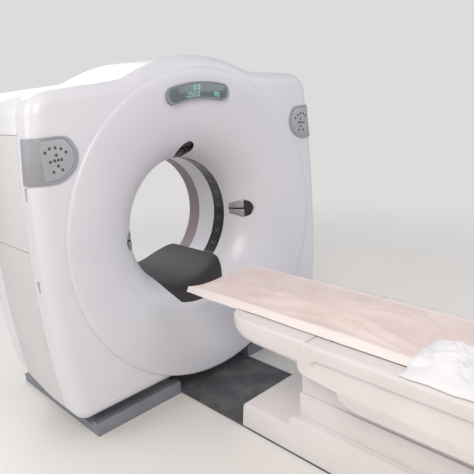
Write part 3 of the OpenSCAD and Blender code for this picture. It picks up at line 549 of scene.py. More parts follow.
def makeRearCover():
    c = cover
    start = 255  # where the rear begins to round, mm behind the scan plane
    reach = c["rear"] - start

    def dome(inset, depth, steps):
        angles = [math.pi / 2 * i / steps for i in range(steps + 1)]
        return [coverRing(inset, 1 - 0.2 * (1 - math.cos(a)), start + depth * math.sin(a)) for a in angles]
    rings = [coverRing(1.5, 1, c["seamRear"]), coverRing(0, 1, c["seamRear"] + 2)] + dome(0, reach, 16)
    inner = [coverRing(c["wall"], 1, c["seamRear"])] + dome(c["wall"], reach - c["wall"], 10)
    piece = lofted("rearCover", inner[::-1] + rings, made["coverEnamel"])
    v = c["vents"]
    feet = [isoHeight + v["z"] + i * v["pitch"] for i in range(v["count"])]
    vents = [box(x - v["half"], x + v["half"], c["rear"] - 25, c["rear"] + 5, z, z + v["high"])
             for x in (-v["x"], v["x"]) for z in feet]
    carved(piece, [disc(c["rearHole"], 380, 560), tailCutter(c["rearTail"])] + vents)
    return ready(smoothed(piece), "gantry", "cover_white", "rear_cover")


makeFrontCover()
makeBand("topCover", cover["topSeam"], 1000, 0, made["coverEnamel"], "top_cover")
# the side panels take the greyer enamel, whose extra grey is painted shade
for side, word in ((-1, "left"), (1, "right")):
    makeBand(word + "UpperPanel", cover["midSeam"], cover["topSeam"], side, made["sideShadedEnamel"], word + "_upper_panel")
    makeBand(word + "LowerPanel", -1000, cover["midSeam"], side, made["sideShadedEnamel"], word + "_lower_panel")
makeRearCover()
print("covers made")

# the front dish, by geometry nodes, is a quarter ellipse turned about the bore, with a rounded lip
dish = {"throat": 350, "rim": 800, "depth": 275, "start": -50, "lip": 15, "wall": 6, "around": 256, "along": 56}
# section of the rear dish as (radius, y), a cone with a rolled rim
rearCone = [(350.4, 276.4), (573, 523), (576.5, 527.5), (581, 530.3), (587, 531), (593, 531), (594.6, 529.5),
            (595, 527), (595, 525.3), (586, 525.3), (583.5, 523), (361, 277.5), (360, 276.4)]
laser = {"outer": 440, "width": 107, "inner": 354, "neck": 60, "rows": 44, "columns": 40,
         # the slit's share of the width, where the dark round window starts past the middle of the wide end,
         # and how far the rim stands out, the alloy bows out and the slit and the window lie back
         "slit": 0.09, "shade": 12, "rim": 1.5, "bow": 4, "slitDeep": -6, "shadeDeep": -9}
display = {"inner": 651, "height": 82, "half": 16.5, "corner": 40, "back": -303, "face": -333, "rim": 7,
           "gap": 0.3, "sunk": (2, 4.8), "letter": 1.35}


def treeInputs(tree, sockets):
    for name, kind in sockets:
        tree.interface.new_socket(name=name, in_out="INPUT", socket_type="NodeSocket" + kind)
    tree.interface.new_socket(name="Geometry", in_out="OUTPUT", socket_type="NodeSocketGeometry")
    return addNode(tree, "NodeGroupInput").outputs


def dressedEnd(tree, geometry, finish):
    real = addNode(tree, "GeometryNodeRealizeInstances", None, {"Geometry": geometry})
    dressed = addNode(tree, "GeometryNodeSetMaterial", None, {"Geometry": real.outputs[0], "Material": finish})
    addNode(tree, "NodeGroupOutput", None, {"Geometry": dressed.outputs[0]})
    return tree


def dishTree():
    tree = bpy.data.node_groups.new("turnedDish", "GeometryNodeTree")
    sizes = [(name, "Float") for name in ("Throat", "Width", "Depth", "Start", "Lip", "Height")]
    given = treeInputs(tree, sizes + [("Around", "Int"), ("Along", "Int"), ("Finish", "Material")])

    def calc(operation, *values):
        return maths(tree, operation, *values)
    lipShare = 0.12  # of the grid's length, over and above the ellipse
    grid = addNode(tree, "GeometryNodeMeshGrid", {"Size X": 1.0, "Size Y": 1.0},
                   {"Vertices X": given["Around"], "Vertices Y": given["Along"]})
    at = addNode(tree, "ShaderNodeSeparateXYZ", None, {0: addNode(tree, "GeometryNodeInputPosition").outputs[0]})
    turn = calc("MULTIPLY", calc("ADD", at.outputs["X"], 0.5), 2 * math.pi)
    along = calc("MULTIPLY", calc("ADD", at.outputs["Y"], 0.5), 1 + lipShare)
    bowl = calc("MULTIPLY", calc("MINIMUM", along, 1.0), math.pi / 2)
    edge = calc("MULTIPLY", calc("MAXIMUM", calc("SUBTRACT", along, 1.0), 0.0), math.pi / 2 / lipShare)
    width = calc("SUBTRACT", given["Width"], given["Lip"])
    radius = calc("ADD", calc("MULTIPLY_ADD", width, calc("SUBTRACT", 1.0, calc("COSINE", bowl)), given["Throat"]),
                  calc("MULTIPLY", given["Lip"], calc("SINE", edge)))
    reach = calc("SUBTRACT", calc("MULTIPLY", given["Depth"], calc("SINE", bowl)),
                 calc("MULTIPLY", given["Lip"], calc("SUBTRACT", 1.0, calc("COSINE", edge))))
    place = addNode(tree, "ShaderNodeCombineXYZ", None, {
        "X": calc("MULTIPLY", radius, calc("COSINE", turn)),
        "Y": calc("SUBTRACT", given["Start"], reach),
        "Z": calc("MULTIPLY_ADD", radius, calc("SINE", turn), given["Height"])})
    moved = addNode(tree, "GeometryNodeSetPosition", None,
                    {"Geometry": grid.outputs["Mesh"], "Position": place.outputs[0]})
    closed = addNode(tree, "GeometryNodeMergeByDistance", {"Distance": 0.00005}, {"Geometry": moved.outputs[0]})
    soft = addNode(tree, "GeometryNodeSetShadeSmooth", None, {"Geometry": closed.outputs[0]})
    return dressedEnd(tree, soft.outputs[0], given["Finish"])


def fromTree(name, tree, values, points=()):
    piece = newPiece(name, points, [], None)
    step = piece.modifiers.new("shape", "NODES")
    step.node_group = tree
    for item in tree.interface.items_tree:
        if item.in_out == "INPUT" and item.name in values:
            step[item.identifier] = values[item.name]
    return applied(piece)


def turnedDish(name, d, material):
    piece = fromTree(name, dishTree(), {
        "Throat": d["throat"] * mm, "Width": (d["rim"] - d["throat"]) * mm, "Depth": d["depth"] * mm,
        "Start": d["start"] * mm, "Lip": d["lip"] * mm, "Height": isoHeight * mm,
        "Around": d["around"] + 1, "Along": d["along"] + 1, "Finish": material})
    tidyNormals(piece)
    faceTowards(piece, Vector((0, -3, isoHeight * mm)))
    return thickened(piece, d["wall"])


def dishPoint(radius):
    # where the front dish's surface lies at a radius, and its direction outward from the wall
    wide = dish["rim"] - dish["lip"] - dish["throat"]
    a = math.acos(max(-1, min(1, 1 - (radius - dish["throat"]) / wide)))
    away = Vector((dish["depth"] * math.cos(a), wide * math.sin(a))).normalized()
    return dish["start"] - dish["depth"] * math.sin(a), -away


def bullet(spread, steps=20):
    # outline of a light window in (radius, sideways), narrow at the throat and round outside
    mid = laser["outer"] - laser["width"] / 2
    r = laser["width"] / 2 + spread
    arc = [(mid + r * math.cos(a), r * math.sin(a)) for a in [math.pi * (i / steps - 0.5) for i in range(steps + 1)]]
    neck = laser["neck"] / 2 + spread
    return arc + [(laser["inner"] - spread, neck), (laser["inner"] - spread, -neck)]


def turnedOutline(points, degrees):
    c, s = math.cos(math.radians(degrees)), math.sin(math.radians(degrees))
    return [(x * c - y * s, x * s + y * c + isoHeight) for x, y in points]


def roundSector(r0, r1, half, corner, steps=8, inset=0):
    # a ring sector about the bore with rounded corners, as (x, z), from its outer right corner round to the left
    r0, r1, corner = r0 + inset, r1 - inset, max(corner - inset, 1)
    arcs = []
    for radius, sign, out in ((r1, 1, 1), (r1, -1, 1), (r0, -1, -1), (r0, 1, -1)):
        reach = radius - corner * out
        edge = math.pi / 2 - sign * (math.radians(half) - (corner + inset) / reach)
        away = edge if out > 0 else edge + math.pi
        turns = [away - sign * out * math.pi / 2 * i / steps for i in range(steps + 1)]
        arcs.append([(reach * math.cos(edge) + corner * math.cos(a), reach * math.sin(edge) + corner * math.sin(a))
                     for a in (turns[::-1] if sign == out else turns)])

    def between(a, b, radius):
        t0, t1 = math.atan2(a[0], a[1]), math.atan2(b[0], b[1])
        return [(radius * math.sin(t0 + (t1 - t0) * i / 24), radius * math.cos(t0 + (t1 - t0) * i / 24))
                for i in range(1, 24)]
    line = arcs[0] + between(arcs[0][-1], arcs[1][0], r1) + arcs[1]
    line += arcs[2] + between(arcs[2][-1], arcs[3][0], r0) + arcs[3]
    return [(x, z + isoHeight) for x, z in line]


def makeFrontDish():
    piece = turnedDish("frontDish", dish, made["coverEnamel"])
    opening = prism(roundSector(display["inner"] - 0.5, display["inner"] + display["height"] + 0.5,
                    display["half"] + 0.05, display["corner"]), "y", -400, -200)
    slots = [prism(turnedOutline(bullet(0), a), "y", -290, -70) for a in (0, 90, 180)]
    carved(piece, [opening] + slots)
    return ready(smoothed(piece, 40), "gantry", "cover_white", "front_dish")


def makeLaserWindow(name, degrees, slotName, node):
    # an alloy scoop with a dark slit down its middle, and a dark round window at its wide end
    rows, columns, slit = laser["rows"], laser["columns"], laser["slit"]
    mid = laser["outer"] - laser["width"] / 2
    shade = mid + laser["shade"]
    points, faces, dark = [], [], []
    for i in range(rows + 1):
        radius = laser["inner"] + 0.6 + (laser["outer"] - laser["inner"] - 1.2) * i / rows
        if radius < mid:
            share = (radius - laser["inner"]) / (mid - laser["inner"])
            half = laser["neck"] / 2 + (laser["width"] - laser["neck"]) / 2 * share
        else:
            half = math.sqrt(max((laser["width"] / 2) ** 2 - (radius - mid) ** 2, 0.2))
        half -= 0.5
        y, away = dishPoint(radius)
        for j in range(columns + 1):
            t = 2 * j / columns - 1
            edge = 1 - abs(t)
            if edge < 0.06 or i in (0, rows):
                deep = laser["rim"]
            elif radius > shade:
                deep = laser["shadeDeep"]
            elif abs(t) < slit:
                deep = laser["slitDeep"]
            else:
                deep = laser["rim"] + laser["bow"] * (1 - (2 * abs(t) - 1) ** 2)
            r = radius + away.x * deep
            points.append((r, y + away.y * deep, t * half))
    for i in range(rows):
        for j in range(columns):
            a = i * (columns + 1) + j
            faces.append((a, a + 1, a + columns + 2, a + columns + 1))
            t = 2 * (j + 0.5) / columns - 1
            radius = laser["inner"] + (laser["outer"] - laser["inner"]) * (i + 0.5) / rows
            dark.append((radius > shade and abs(t) < 0.95) or abs(t) < slit)
    c, s = math.cos(math.radians(degrees)), math.sin(math.radians(degrees))
    turned = [(r * c - w * s, y, r * s + w * c + isoHeight) for r, y, w in points]
    piece = newPiece(name, turned, faces, made["windowAlloy"] if degrees != 90 else made["windowDark"])
    piece.data.materials.append(made["windowDark"])
    for face, isDark in zip(piece.data.polygons, dark):
        face.material_index = int(isDark)
    faceTowards(piece, Vector((0, -0.6, isoHeight * mm)))
    thickened(piece, 2)
    return ready(smoothed(piece, 30), "gantry", slotName, node)


makeFrontDish()
makeLaserWindow("laserWindowRight", 0, "panel_grey", "laser_window_right")
makeLaserWindow("laserWindowTop", 90, "panel_dark", "laser_window_top")
makeLaserWindow("laserWindowLeft", 180, "panel_grey", "laser_window_left")
print("dishes and light windows made")

# lining of the bore, as rings along y
bore = {"radius": 350, "scanStart": -50, "scanEnd": 42, "lightEnd": 181, "brownEnd": 276, "wall": 8, "steps": 192}
# half angle of the dark liner, its rear end and the apron's corners on the dish as (x, z) from the bore axis
liner = {"half": 42.2, "thick": 3, "rear": 450, "corner": 140, "apron": 430, "corners": [(181, -355), (140, -412)]}


def turnedRing(name, profile, material):
    n = bore["steps"]
    rings = []
    for i in range(n):
        a = 2 * math.pi * i / n
        rings.append([(r * math.cos(a), y, r * math.sin(a) + isoHeight) for r, y in profile])
    return lofted(name, rings, material, loop=True)


def makeBoreRings():
    b = bore
    r, w = b["radius"], b["wall"]
    rings = (("scanWindow", b["scanStart"], b["scanEnd"], 3, "scanFilm", "scan_film", "scan_window"),
             ("boreLiner", b["scanEnd"], b["lightEnd"], w, "coverEnamel", "cover_white", "bore_liner"),
             # the rear liner's grey-brown is painted shade
             ("boreRearLiner", b["lightEnd"], b["brownEnd"], w, "boreShadeBrown", "bore_brown", "bore_rear_liner"))
    for name, y0, y1, wall, material, slotName, node in rings:
        y0, y1 = y0 + 0.4, y1 - 0.4
        profile = [(r + 1, y0), (r, y0 + 1), (r, y1 - 1), (r + 1, y1), (r + wall, y1), (r + wall, y0)]
        ready(smoothed(turnedRing(name, profile, made[material])), "gantry", slotName, node)
    ready(smoothed(turnedRing("rearDish", rearCone, made["coverEnamel"]), 30), "gantry", "cover_white", "rear_dish")


def apronHalf(radius):
    # half angle of the dark apron at a radius of the dish
    turn = math.radians(liner["half"])
    corners = [(bore["radius"] * math.sin(turn), -bore["radius"] * math.cos(turn))] + liner["corners"]
    for a, b in zip(corners, corners[1:]):
        if radius <= math.hypot(*b) or b == corners[-1]:
            low, high = math.hypot(*a), math.hypot(*b)
            share = min(max((radius - low) / (high - low), 0), 1)
            p = (a[0] + (b[0] - a[0]) * share, a[1] + (b[1] - a[1]) * share)
            return math.degrees(math.atan2(p[0], -p[1]))


def makeLowerLiner():
    # a tongue with a round rear end, along the bore and then up the dish; the foot is a round edge
    t, rows = liner["thick"], []
    wide, corner = bore["radius"] * math.sin(math.radians(liner["half"])) + 1, liner["corner"]
    for i in range(13):
        turn = math.pi / 2 * (1 - i / 12)
        reach = wide - corner * (1 - math.cos(turn))
        rows.append((bore["radius"] - t, liner["rear"] - corner * (1 - math.sin(turn)),
                     min(liner["half"], math.degrees(math.asin(reach / bore["radius"])))))
    foot = liner["rear"] - corner
    for i in range(1, 25):
        rows.append((bore["radius"] - t, foot + (bore["scanStart"] - foot) * i / 24, liner["half"]))
    for i in range(1, 31):
        radius = bore["radius"] + (liner["apron"] - bore["radius"]) * i / 30
        y, away = dishPoint(radius)
        rows.append((radius + away.x * t, y + away.y * t, apronHalf(radius)))
    columns, points = 48, []
    for radius, y, half in rows:
        for j in range(columns + 1):
            a = math.radians(270 - half + 2 * half * j / columns)
            points.append((radius * math.cos(a), y, radius * math.sin(a) + isoHeight))
    piece = newPiece("boreLowerLiner", points, gridFaces(len(rows) - 1, columns), made["linerPlastic"])
    faceTowards(piece, Vector((0, -0.6, 1.6)))
    thickened(piece, t - 0.3)
    return ready(smoothed(piece), "gantry", "liner_dark", "bore_lower_liner")


makeBoreRings()
makeLowerLiner()
print("bore lining made")

# display and control pads
readings = [("0.0", -12, 706, 27), ("-250.0", -41, 674, 27), ("90", 114, 673, 26)]  # text, x, radius, height


def makeDisplay():
    d = display
    r0, r1 = d["inner"], d["inner"] + d["height"]
    bezel = prism(roundSector(r0, r1, d["half"], d["corner"]), "y", d["face"], d["back"], made["bezelPlastic"],
                  "displayBezel")
    hollow = roundSector(r0, r1, d["half"] - 0.6, d["corner"], inset=d["rim"])
    carved(bezel, [prism(hollow, "y", d["face"] - 5, d["face"] + 5)])
    bevelled(bezel, 3)
    ready(smoothed(bezel), "gantry", "panel_dark", "display_bezel")
    shape = roundSector(r0, r1, d["half"] - 0.62, d["corner"], inset=d["rim"] + d["gap"])
    lens = prism(shape, "y", *(d["face"] + depth for depth in d["sunk"]), made["smokedAcrylic"], "displayLens")
    bevelled(lens, 0.8, 2)
    ready(smoothed(lens), "gantry", "display_glass", "display_lens")
    parts = []
    for text, middle, radius, height in readings:
        font = bpy.data.curves.new("reading", "FONT")
        font.body = text
        font.align_x = "CENTER"
        font.align_y = "CENTER"
        font.size = height * mm * d["letter"]
        font.extrude = 0.0002
        word = placed("reading", font)
        mesh = evaluated(word)
        bpy.data.objects.remove(word)
        for v in mesh.vertices:
            a = (v.co.x + middle * mm) / (radius * mm)
            r = radius * mm + v.co.y
            v.co = Vector((r * math.sin(a), (d["face"] + 1.7) * mm - v.co.z, r * math.cos(a) + isoHeight * mm))
        mesh.materials.clear()
        mesh.materials.append(made["displayDigits"])
        parts.append(placed("part", mesh))
    digits = joined("displayDigits", parts)
    tidyNormals(digits)
    ready(digits, "gantry", "display_glass")


pad = {"z": 461, "thick": 7, "x": 776, "keyRadius": 6.5, "keyRise": 3,
       "outline": [(678, 480), (684, 445), (700, 415), (728, 390), (762, 372), (800, 366), (870, 368), (960, 374),
                   (960, 460), (960, 548), (870, 556), (800, 557), (745, 556), (712, 545), (690, 515)],
       "mat": [(-82, 17), (-77, -12), (-62, -38), (-36, -60), (-6, -76), (26, -82), (58, -81), (66, -72), (66, 0),
               (66, 75), (58, 84), (26, 85), (-28, 85), (-48, 78), (-70, 50)],
       "keys": [(-5, 0), (11, -1), (-20, 0), (0, 21), (-2, -24), (-44, 28), (-24, 44), (0, 51), (25, 50), (47, 36),
                (30, -4), (22, -46), (-18, -42)]}


def padProfile(inner, outer, steps=14):
    # plan of the pad: along the face, round the edge and back along the side
    x, y, e = sideAt(pad["z"]) + 0.3 - cover["edge"], cover["front"] + cover["edge"], cover["edge"]
    line = []
    for depth, order in ((outer, 1), (inner, -1)):
        r = e + depth
        turns = [math.pi / 2 * i / steps for i in range(steps + 1)]
        arc = [(x + r * math.sin(a), y - r * math.cos(a)) for a in turns]
        run = [(640, y - r)] + arc + [(x + r, y + 26)]
        line += run[::order]
    return line


def matPrism(spread, y0, y1, material=None, name="cutter"):
    shape = [(pad["x"] + x * (1 + spread / 80), isoHeight + pad["z"] + z * (1 + spread / 80))
             for x, z in curveThrough(pad["mat"], 5)]
    return prism(shape, "y", y0, y1, material, name)


def makePad(side, name, node):
    lean = math.atan(2 * (pad["z"] - cover["sideMid"]) / cover["sideBend"])
    piece = prism(padProfile(0, pad["thick"]), "z", -130, 130, made["padPlastic"], name)
    x = sideAt(pad["z"]) * mm
    place = Matrix.Translation((x, 0, (isoHeight + pad["z"]) * mm))
    piece.data.transform(place @ Matrix.Rotation(-lean, 4, "Y") @ Matrix.Translation((-x, 0, 0)))
    shape = [(x, z + isoHeight) for x, z in curveThrough(pad["outline"], 6)]
    carved(piece, [prism(shape, "y", -345, -190)], "INTERSECT")
    carved(piece, [matPrism(0.6, -345, -313)])
    bevelled(piece, 2.2, 2, 50)
    if side < 0:
        mirrored(piece)
    ready(smoothed(piece), "gantry", "panel_grey", node)


def mirrored(piece):
    piece.data.transform(Matrix.Scale(-1, 4, (1, 0, 0)))
    tidyNormals(piece)


def keyTree():
    # one soft round key on each point, flattened towards the face
    tree = bpy.data.node_groups.new("padKeys", "GeometryNodeTree")
    sockets = (("Geometry", "Geometry"), ("Radius", "Float"), ("Rise", "Float"), ("Finish", "Material"))
    given = treeInputs(tree, sockets)
    ball = addNode(tree, "GeometryNodeMeshUVSphere", {"Segments": 20, "Rings": 10}, {"Radius": given["Radius"]})
    flat = maths(tree, "DIVIDE", given["Rise"], given["Radius"])
    scale = addNode(tree, "ShaderNodeCombineXYZ", {"X": 1.0, "Z": 1.0}, {"Y": flat})
    low = addNode(tree, "GeometryNodeTransform", None, {"Geometry": ball.outputs["Mesh"], "Scale": scale.outputs[0]})
    soft = addNode(tree, "GeometryNodeSetShadeSmooth", None, {"Geometry": low.outputs[0]})
    copies = addNode(tree, "GeometryNodeInstanceOnPoints", None,
                     {"Points": given["Geometry"], "Instance": soft.outputs[0]})
    return dressedEnd(tree, copies.outputs[0], given["Finish"])


keyNodes = keyTree()


def makeKeys(side, name, node):
    mat = matPrism(-0.4, cover["front"] - 5.5, cover["front"] - 3, made["matFilm"], name + "Mat")
    bevelled(mat, 1, 2)
    if side < 0:
        mirrored(mat)
    ready(smoothed(mat), "gantry", "panel_dark", node)
    points = [(side * (pad["x"] + x), cover["front"] - 5.3, isoHeight + pad["z"] + z) for x, z in pad["keys"]]
    keys = fromTree(name + "Keys", keyNodes, {"Radius": pad["keyRadius"] * mm, "Rise": pad["keyRise"] * mm,
                                              "Finish": made["keySilicone"]}, points)
    ready(keys, "gantry", "panel_dark")


makeDisplay()
for side, word in ((-1, "left"), (1, "right")):
    makePad(side, word + "ControlPad", word + "_control_panel")
    makeKeys(side, word, word + "_keypad")
print("display and pads made")

# table, in mm; z is from the floor
table = {"half": 306, "top": 600, "nose": -717, "noseHalf": 299.7, "noseCorner": 120, "noseRound": 42, "topRound": 13,
         # underside of the nose as (distance back from its tip, height from the deck)
         "under": [(0, 0), (4, -29), (18, -53), (46, -73), (90, -92), (153, -109), (286, -117), (441, -120),
                   (471, -120)],
         # what is open in the nose: half width, where it starts, foot and top
         "noseSlots": [(214, -767, 566, 700), (290, -905, 494, 592), (400, -1158, 400, 552)],
         # side cover as (y, z): the moulded front end, then the straight underside
         "sideFront": [(-1195, 600), (-1181, 583), (-1156, 536), (-1153, 482), (-1173, 460), (-1239, 453)],
         "sideUnder": [(-1341, 441), (-1350, 416), (-1380, 397), (-1431, 389), (-2800, 389), (-2800, 600)],
         "skin": 22, "edge": 18, "lip": 226, "lipDeep": 6, "lipEnds": (-2799, -1194),
         # groove along the side: foot, top and start outside and at its floor, and its depth
         "groove": [(452, 540, -1210), (481, 533, -1228)], "grooveDeep": 14}


def roundedSection(half, low, high, y, corner, steps=6):
    # an upright rounded rectangle across the table, as a ring of points
    c = min(corner, (high - low) / 2 - 0.01, half - 0.01)
    top = min(table["topRound"], c)
    ring = []
    for x, z, r, start in ((half - c, low + c, c, -90), (half - top, high - top, top, 0),
                           (-half + top, high - top, top, 90), (-half + c, low + c, c, 180)):
        for i in range(steps + 1):
            a = math.radians(start + 90 * i / steps)
            ring.append((x + r * math.cos(a), y, z + r * math.sin(a)))
    return ring


def makeNose():
    t = table
    line = curveThrough(t["under"], 8, closed=False)
    rings = []
    for back, drop in line:
        if back < 1.5:
            continue
        r = t["noseCorner"]
        half = t["noseHalf"] - (r - math.sqrt(r ** 2 - (r - back) ** 2) if back < r else 0)
        rings.append(roundedSection(half, t["top"] - 1 + drop, t["top"], t["nose"] - back, t["noseRound"]))
    piece = lofted("tableNoseCover", rings[::-1], made["tableEnamel"])
    carved(piece, [box(-half, half, -1200, y, low, high) for half, y, low, high in t["noseSlots"]])
    bevelled(piece, 1.5, 2, 60)
    return ready(smoothed(piece, 40), "table", "table_white", "table_nose_cover")


def stadium(low, high, start, end, steps=14):
    r = (high - low) / 2
    z = (low + high) / 2
    turns = [math.pi * (0.5 - i / steps) for i in range(steps + 1)]
    return [(start - r + r * math.cos(a), z + r * math.sin(a)) for a in turns] + [(end, low), (end, high)]


def makeTableSide(side, name, node):
    t = table
    shape = curveThrough(t["sideFront"], 6, closed=False) + t["sideUnder"]
    piece = prism(shape, "x", t["half"] - t["skin"], t["half"], made["tableEnamel"], name)
    depths = (t["half"] + 0.5, t["half"] - t["grooveDeep"])
    rings = [[(x, y, z) for y, z in stadium(*ends, -2810)] for x, ends in zip(depths, t["groove"])]
    groove = lofted("cutter", rings, None)
    r, turns = t["edge"], [math.pi / 2 * i / 8 for i in range(9)]
    edge = [(t["half"] - r + r * math.cos(a), t["top"] - r + r * math.sin(a)) for a in turns]
    rounded = [(200, 380), (t["half"], 380)] + edge + [(200, t["top"])]
    carved(piece, [prism(rounded, "y", -2900, -1100)], "INTERSECT")
    carved(piece, [box(t["lip"], t["half"] - 19, *t["lipEnds"], t["top"] - t["lipDeep"], t["top"])], "UNION")
    carved(piece, [groove])
    bevelled(piece, 4, 3, 40)
    if side < 0:
        mirrored(piece)
    return ready(smoothed(piece, 32), "table", "table_white", node)


def softened(name, node, width, material, slotName, body):
    # a CAD piece with its edges eased as the real one's are
    def cleaned(work):
        bmesh.ops.remove_doubles(work, verts=work.verts, dist=0.00002)
        bmesh.ops.dissolve_limit(work, angle_limit=math.radians(0.6), verts=work.verts, edges=work.edges)
    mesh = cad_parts[node].data.copy()
    reshaped(mesh, cleaned)
    mesh.materials.clear()
    mesh.materials.append(material)
    piece = placed(name, mesh)
    bevelled(piece, width)
    return ready(smoothed(piece, 40), body, slotName, node)


makeNose()
makeTableSide(-1, "tableLeftCover", "table_left_cover")
makeTableSide(1, "tableRightCover", "table_right_cover")
easedPieces = {  # node: radius in mm, material, slot, body
    "table_foot_cover": (6, "tableEnamel", "table_white", "table"),
    "pedestal_cover": (6, "tableEnamel", "table_white", "base"),
    "middle_shroud": (3, "tableEnamel", "table_white", "shroud"),
    "upper_shroud": (3, "tableEnamel", "table_white", "table"),
    "base_frame": (2.5, "powderCoat", "frame_paint", "base"),
    "left_upright": (3, "frameCoat", "frame_paint", "base"),
    "right_upright": (3, "frameCoat", "frame_paint", "base"),
    "tilt_gearmotor": (2.5, "housingPaint", "motor_grey", "base"),
    "cradle": (2.5, "cradleComposite", "cradle_shell", "bed"),
    "floor_plate": (1.5, "wornPlate", "plate_paint", "base"),
}
for node, (width, material, slotName, body) in easedPieces.items():
    words = node.split("_")
    name = words[0] + "".join(w.capitalize() for w in words[1:])
    softened(name, node, width, made[material], slotName, body)
print("table and base made")

# sheet laid on the cradle
cloth = {"half": 203, "top": 624.6, "start": -392, "end": -1930, "thick": 1.2, "stepsAcross": 118, "stepsAlong": 310,
         # foot of the hem over the deck, how much further it hangs ahead of the nose, and where the nose ends
         "foot": 602.4, "hang": 5.5, "noseEnd": -745,
         # the cloth lies on the cradle's rim out to here, at this height
         "rim": (213, 622.5),
         # at the head end: where the cradle ends, how far the cloth droops and how far its near corner comes forward
         "headEdge": -428, "droop": 14, "lead": 30,
         # reach of the near and far hem from the middle line at a place along the table
         "nearHem": [(-392, 222), (-541, 225), (-640, 223), (-703, 225), (-760, 224), (-851, 222), (-966, 223),
                     (-1107, 225), (-1305, 226), (-1500, 225), (-1930, 226)],
         "farHem": [(-392, 216), (-540, 218), (-700, 221), (-1000, 219), (-1300, 222), (-1930, 220)],
         # long folds: line of (x, y), height, width of the near and of the far flank
         "folds": [([(-199, -440), (-199, -800), (-203, -1000), (-200, -1250), (-197, -1400), (-199, -1600)],
                    11, 9, 17),
                   ([(-150, -640), (-152, -758), (-100, -890), (-56, -1027), (-56, -1282), (-103, -1470),
                     (-141, -1590)], 25, 20, 22),
                   ([(-178, -880), (-160, -1000), (-132, -1120), (-126, -1260), (-148, -1420), (-168, -1560)],
                    15, 13, 14),
                   ([(-60, -470), (-100, -560), (-118, -690), (-150, -800)], 15, 15, 17),
                   ([(30, -430), (-10, -520), (-40, -640), (-30, -780), (10, -960)], 14, 18, 22),
                   ([(110, -420), (150, -520), (120, -640), (60, -760)], 12, 22, 28),
                   ([(20, -1130), (44, -1260), (70, -1390), (64, -1480)], 15, 20, 24),
                   ([(120, -900), (90, -1060), (100, -1200), (140, -1330)], 9, 26, 34),
                   ([(-90, -1120), (-88, -1240), (-110, -1380)], 11, 10, 11),
                   ([(160, -1300), (120, -1450), (40, -1560), (-40, -1600), (-130, -1605)], 18, 18, 24),
                   ([(-190, -430), (-150, -470), (-90, -480), (-20, -450)], 9, 10, 14)]}


def rippled(x, y, z):
    return noise.noise(Vector((x, y, z)))


def eased(t):
    return t * t * (3 - 2 * t)


def alongLine(pairs, y):
    for (y0, a), (y1, b) in zip(pairs, pairs[1:]):
        if y >= y1:
            t = min(max((y0 - y) / (y0 - y1), 0), 1)
            return a + (b - a) * eased(t)
    return pairs[-1][1]


foldLines = [(curveThrough(line, 5, closed=False), height, near, far) for line, height, near, far in cloth["folds"]]


def foldHeight(x, y):
    # raised folds of the cloth, steeper on the near flank, fading towards both ends
    total = 0
    for line, height, near, far in foldLines:
        if not min(line[0][1], line[-1][1]) - 60 < y < max(line[0][1], line[-1][1]) + 60:
            continue
        best, at, off = 1e9, 0, 0
        for k, (a, b) in enumerate(zip(line, line[1:])):
            dx, dy = b[0] - a[0], b[1] - a[1]
            t = min(max(((x - a[0]) * dx + (y - a[1]) * dy) / (dx * dx + dy * dy), 0), 1)
            px, py = x - a[0] - dx * t, y - a[1] - dy * t
            if px * px + py * py < best:
                best, at, off = px * px + py * py, (k + t) / (len(line) - 1), px
        reach = math.sqrt(best) / (near if off < 0 else far)
        if reach < 3:
            total = max(total, height * math.exp(-reach ** 1.7) * math.sin(math.pi * min(max(at, 0.02), 0.98)) ** 0.6)
    wave = rippled(x / 110, y / 260, 3.1) * 4 + rippled(x / 34, y / 120, 7.7) * 2
    return total + max(wave, -1.5)


def makeSheet():
    c = cloth
    across, along = c["stepsAcross"], c["stepsAlong"]
    points, flat, widest = [], [], 0
    for i in range(along + 1):
        y = c["start"] + (c["end"] - c["start"]) * i / along
        free = max(0, min(1, (y - c["noseEnd"]) / 40))  # 1 ahead of the table's nose, where the hem hangs free
        over = max(0, min(1, (y - c["headEdge"]) / 36))  # above 0 past the end of the cradle
        tip = max(0, 1 - i / 26)
        hems = {-1: alongLine(c["nearHem"], y), 1: alongLine(c["farHem"], y)}
        for j in range(across + 1):
            t = 2 * j / across - 1
            side = -1 if t < 0 else 1
            ripple = rippled(y / 50, side * 5, 0) * 2 + rippled(y / 19, side * 9, 2) * 1
            hem = hems[side] + ripple
            foot = c["foot"] - c["hang"] * free + 0.5 * abs(ripple)
            slope = math.hypot(hem - c["half"], c["top"] - foot)
            s = abs(t) * (c["half"] + slope)
            if s <= c["half"]:
                x, z = s, c["top"] + foldHeight(side * s, y) * min(1, 0.45 + (c["half"] - s) / 45)
            else:
                share = (s - c["half"]) / slope
                x = c["half"] + (hem - c["half"]) * share ** 1.15
                z = c["top"] - (c["top"] - foot) * (share ** 1.25)
                z += foldHeight(side * c["half"], y) * 0.45 * (1 - share)
                z += 2.5 * math.sin(math.pi * share) * (1 + rippled(y / 30, side * 3, 4))
                if x < c["rim"][0]:
                    z = max(z, c["rim"][1])
            sag = (0.6 + 0.4 * math.cos(3.1 * t + 0.6)) * max(0, min(1, (0.95 - abs(t)) / 0.12))
            z -= c["droop"] * over ** 2 * sag
            lead = 9 * rippled(t * 2.2, 1.7, 0) + (c["lead"] if side < 0 else 0) * max(0, abs(t) - 0.6) / 0.4
            points.append((side * x, y + lead * tip, z))
            flat.append((side * s * mm, y * mm))
            widest = max(widest, s)
    return clothPiece("bedSheet", points, gridFaces(along, across), flat, made["cottonPink"], c["thick"]), widest


def clothPiece(name, points, faces, flat, material, thick):
    piece = newPiece(name, points, faces, material)
    layer = piece.data.uv_layers.new(name="flat")
    for loop in piece.data.loops:
        layer.data[loop.index].uv = flat[loop.vertex_index]
    turnedOver(piece, lambda face: face.normal.z * face.calc_area())
    return thickened(piece, thick, 1)


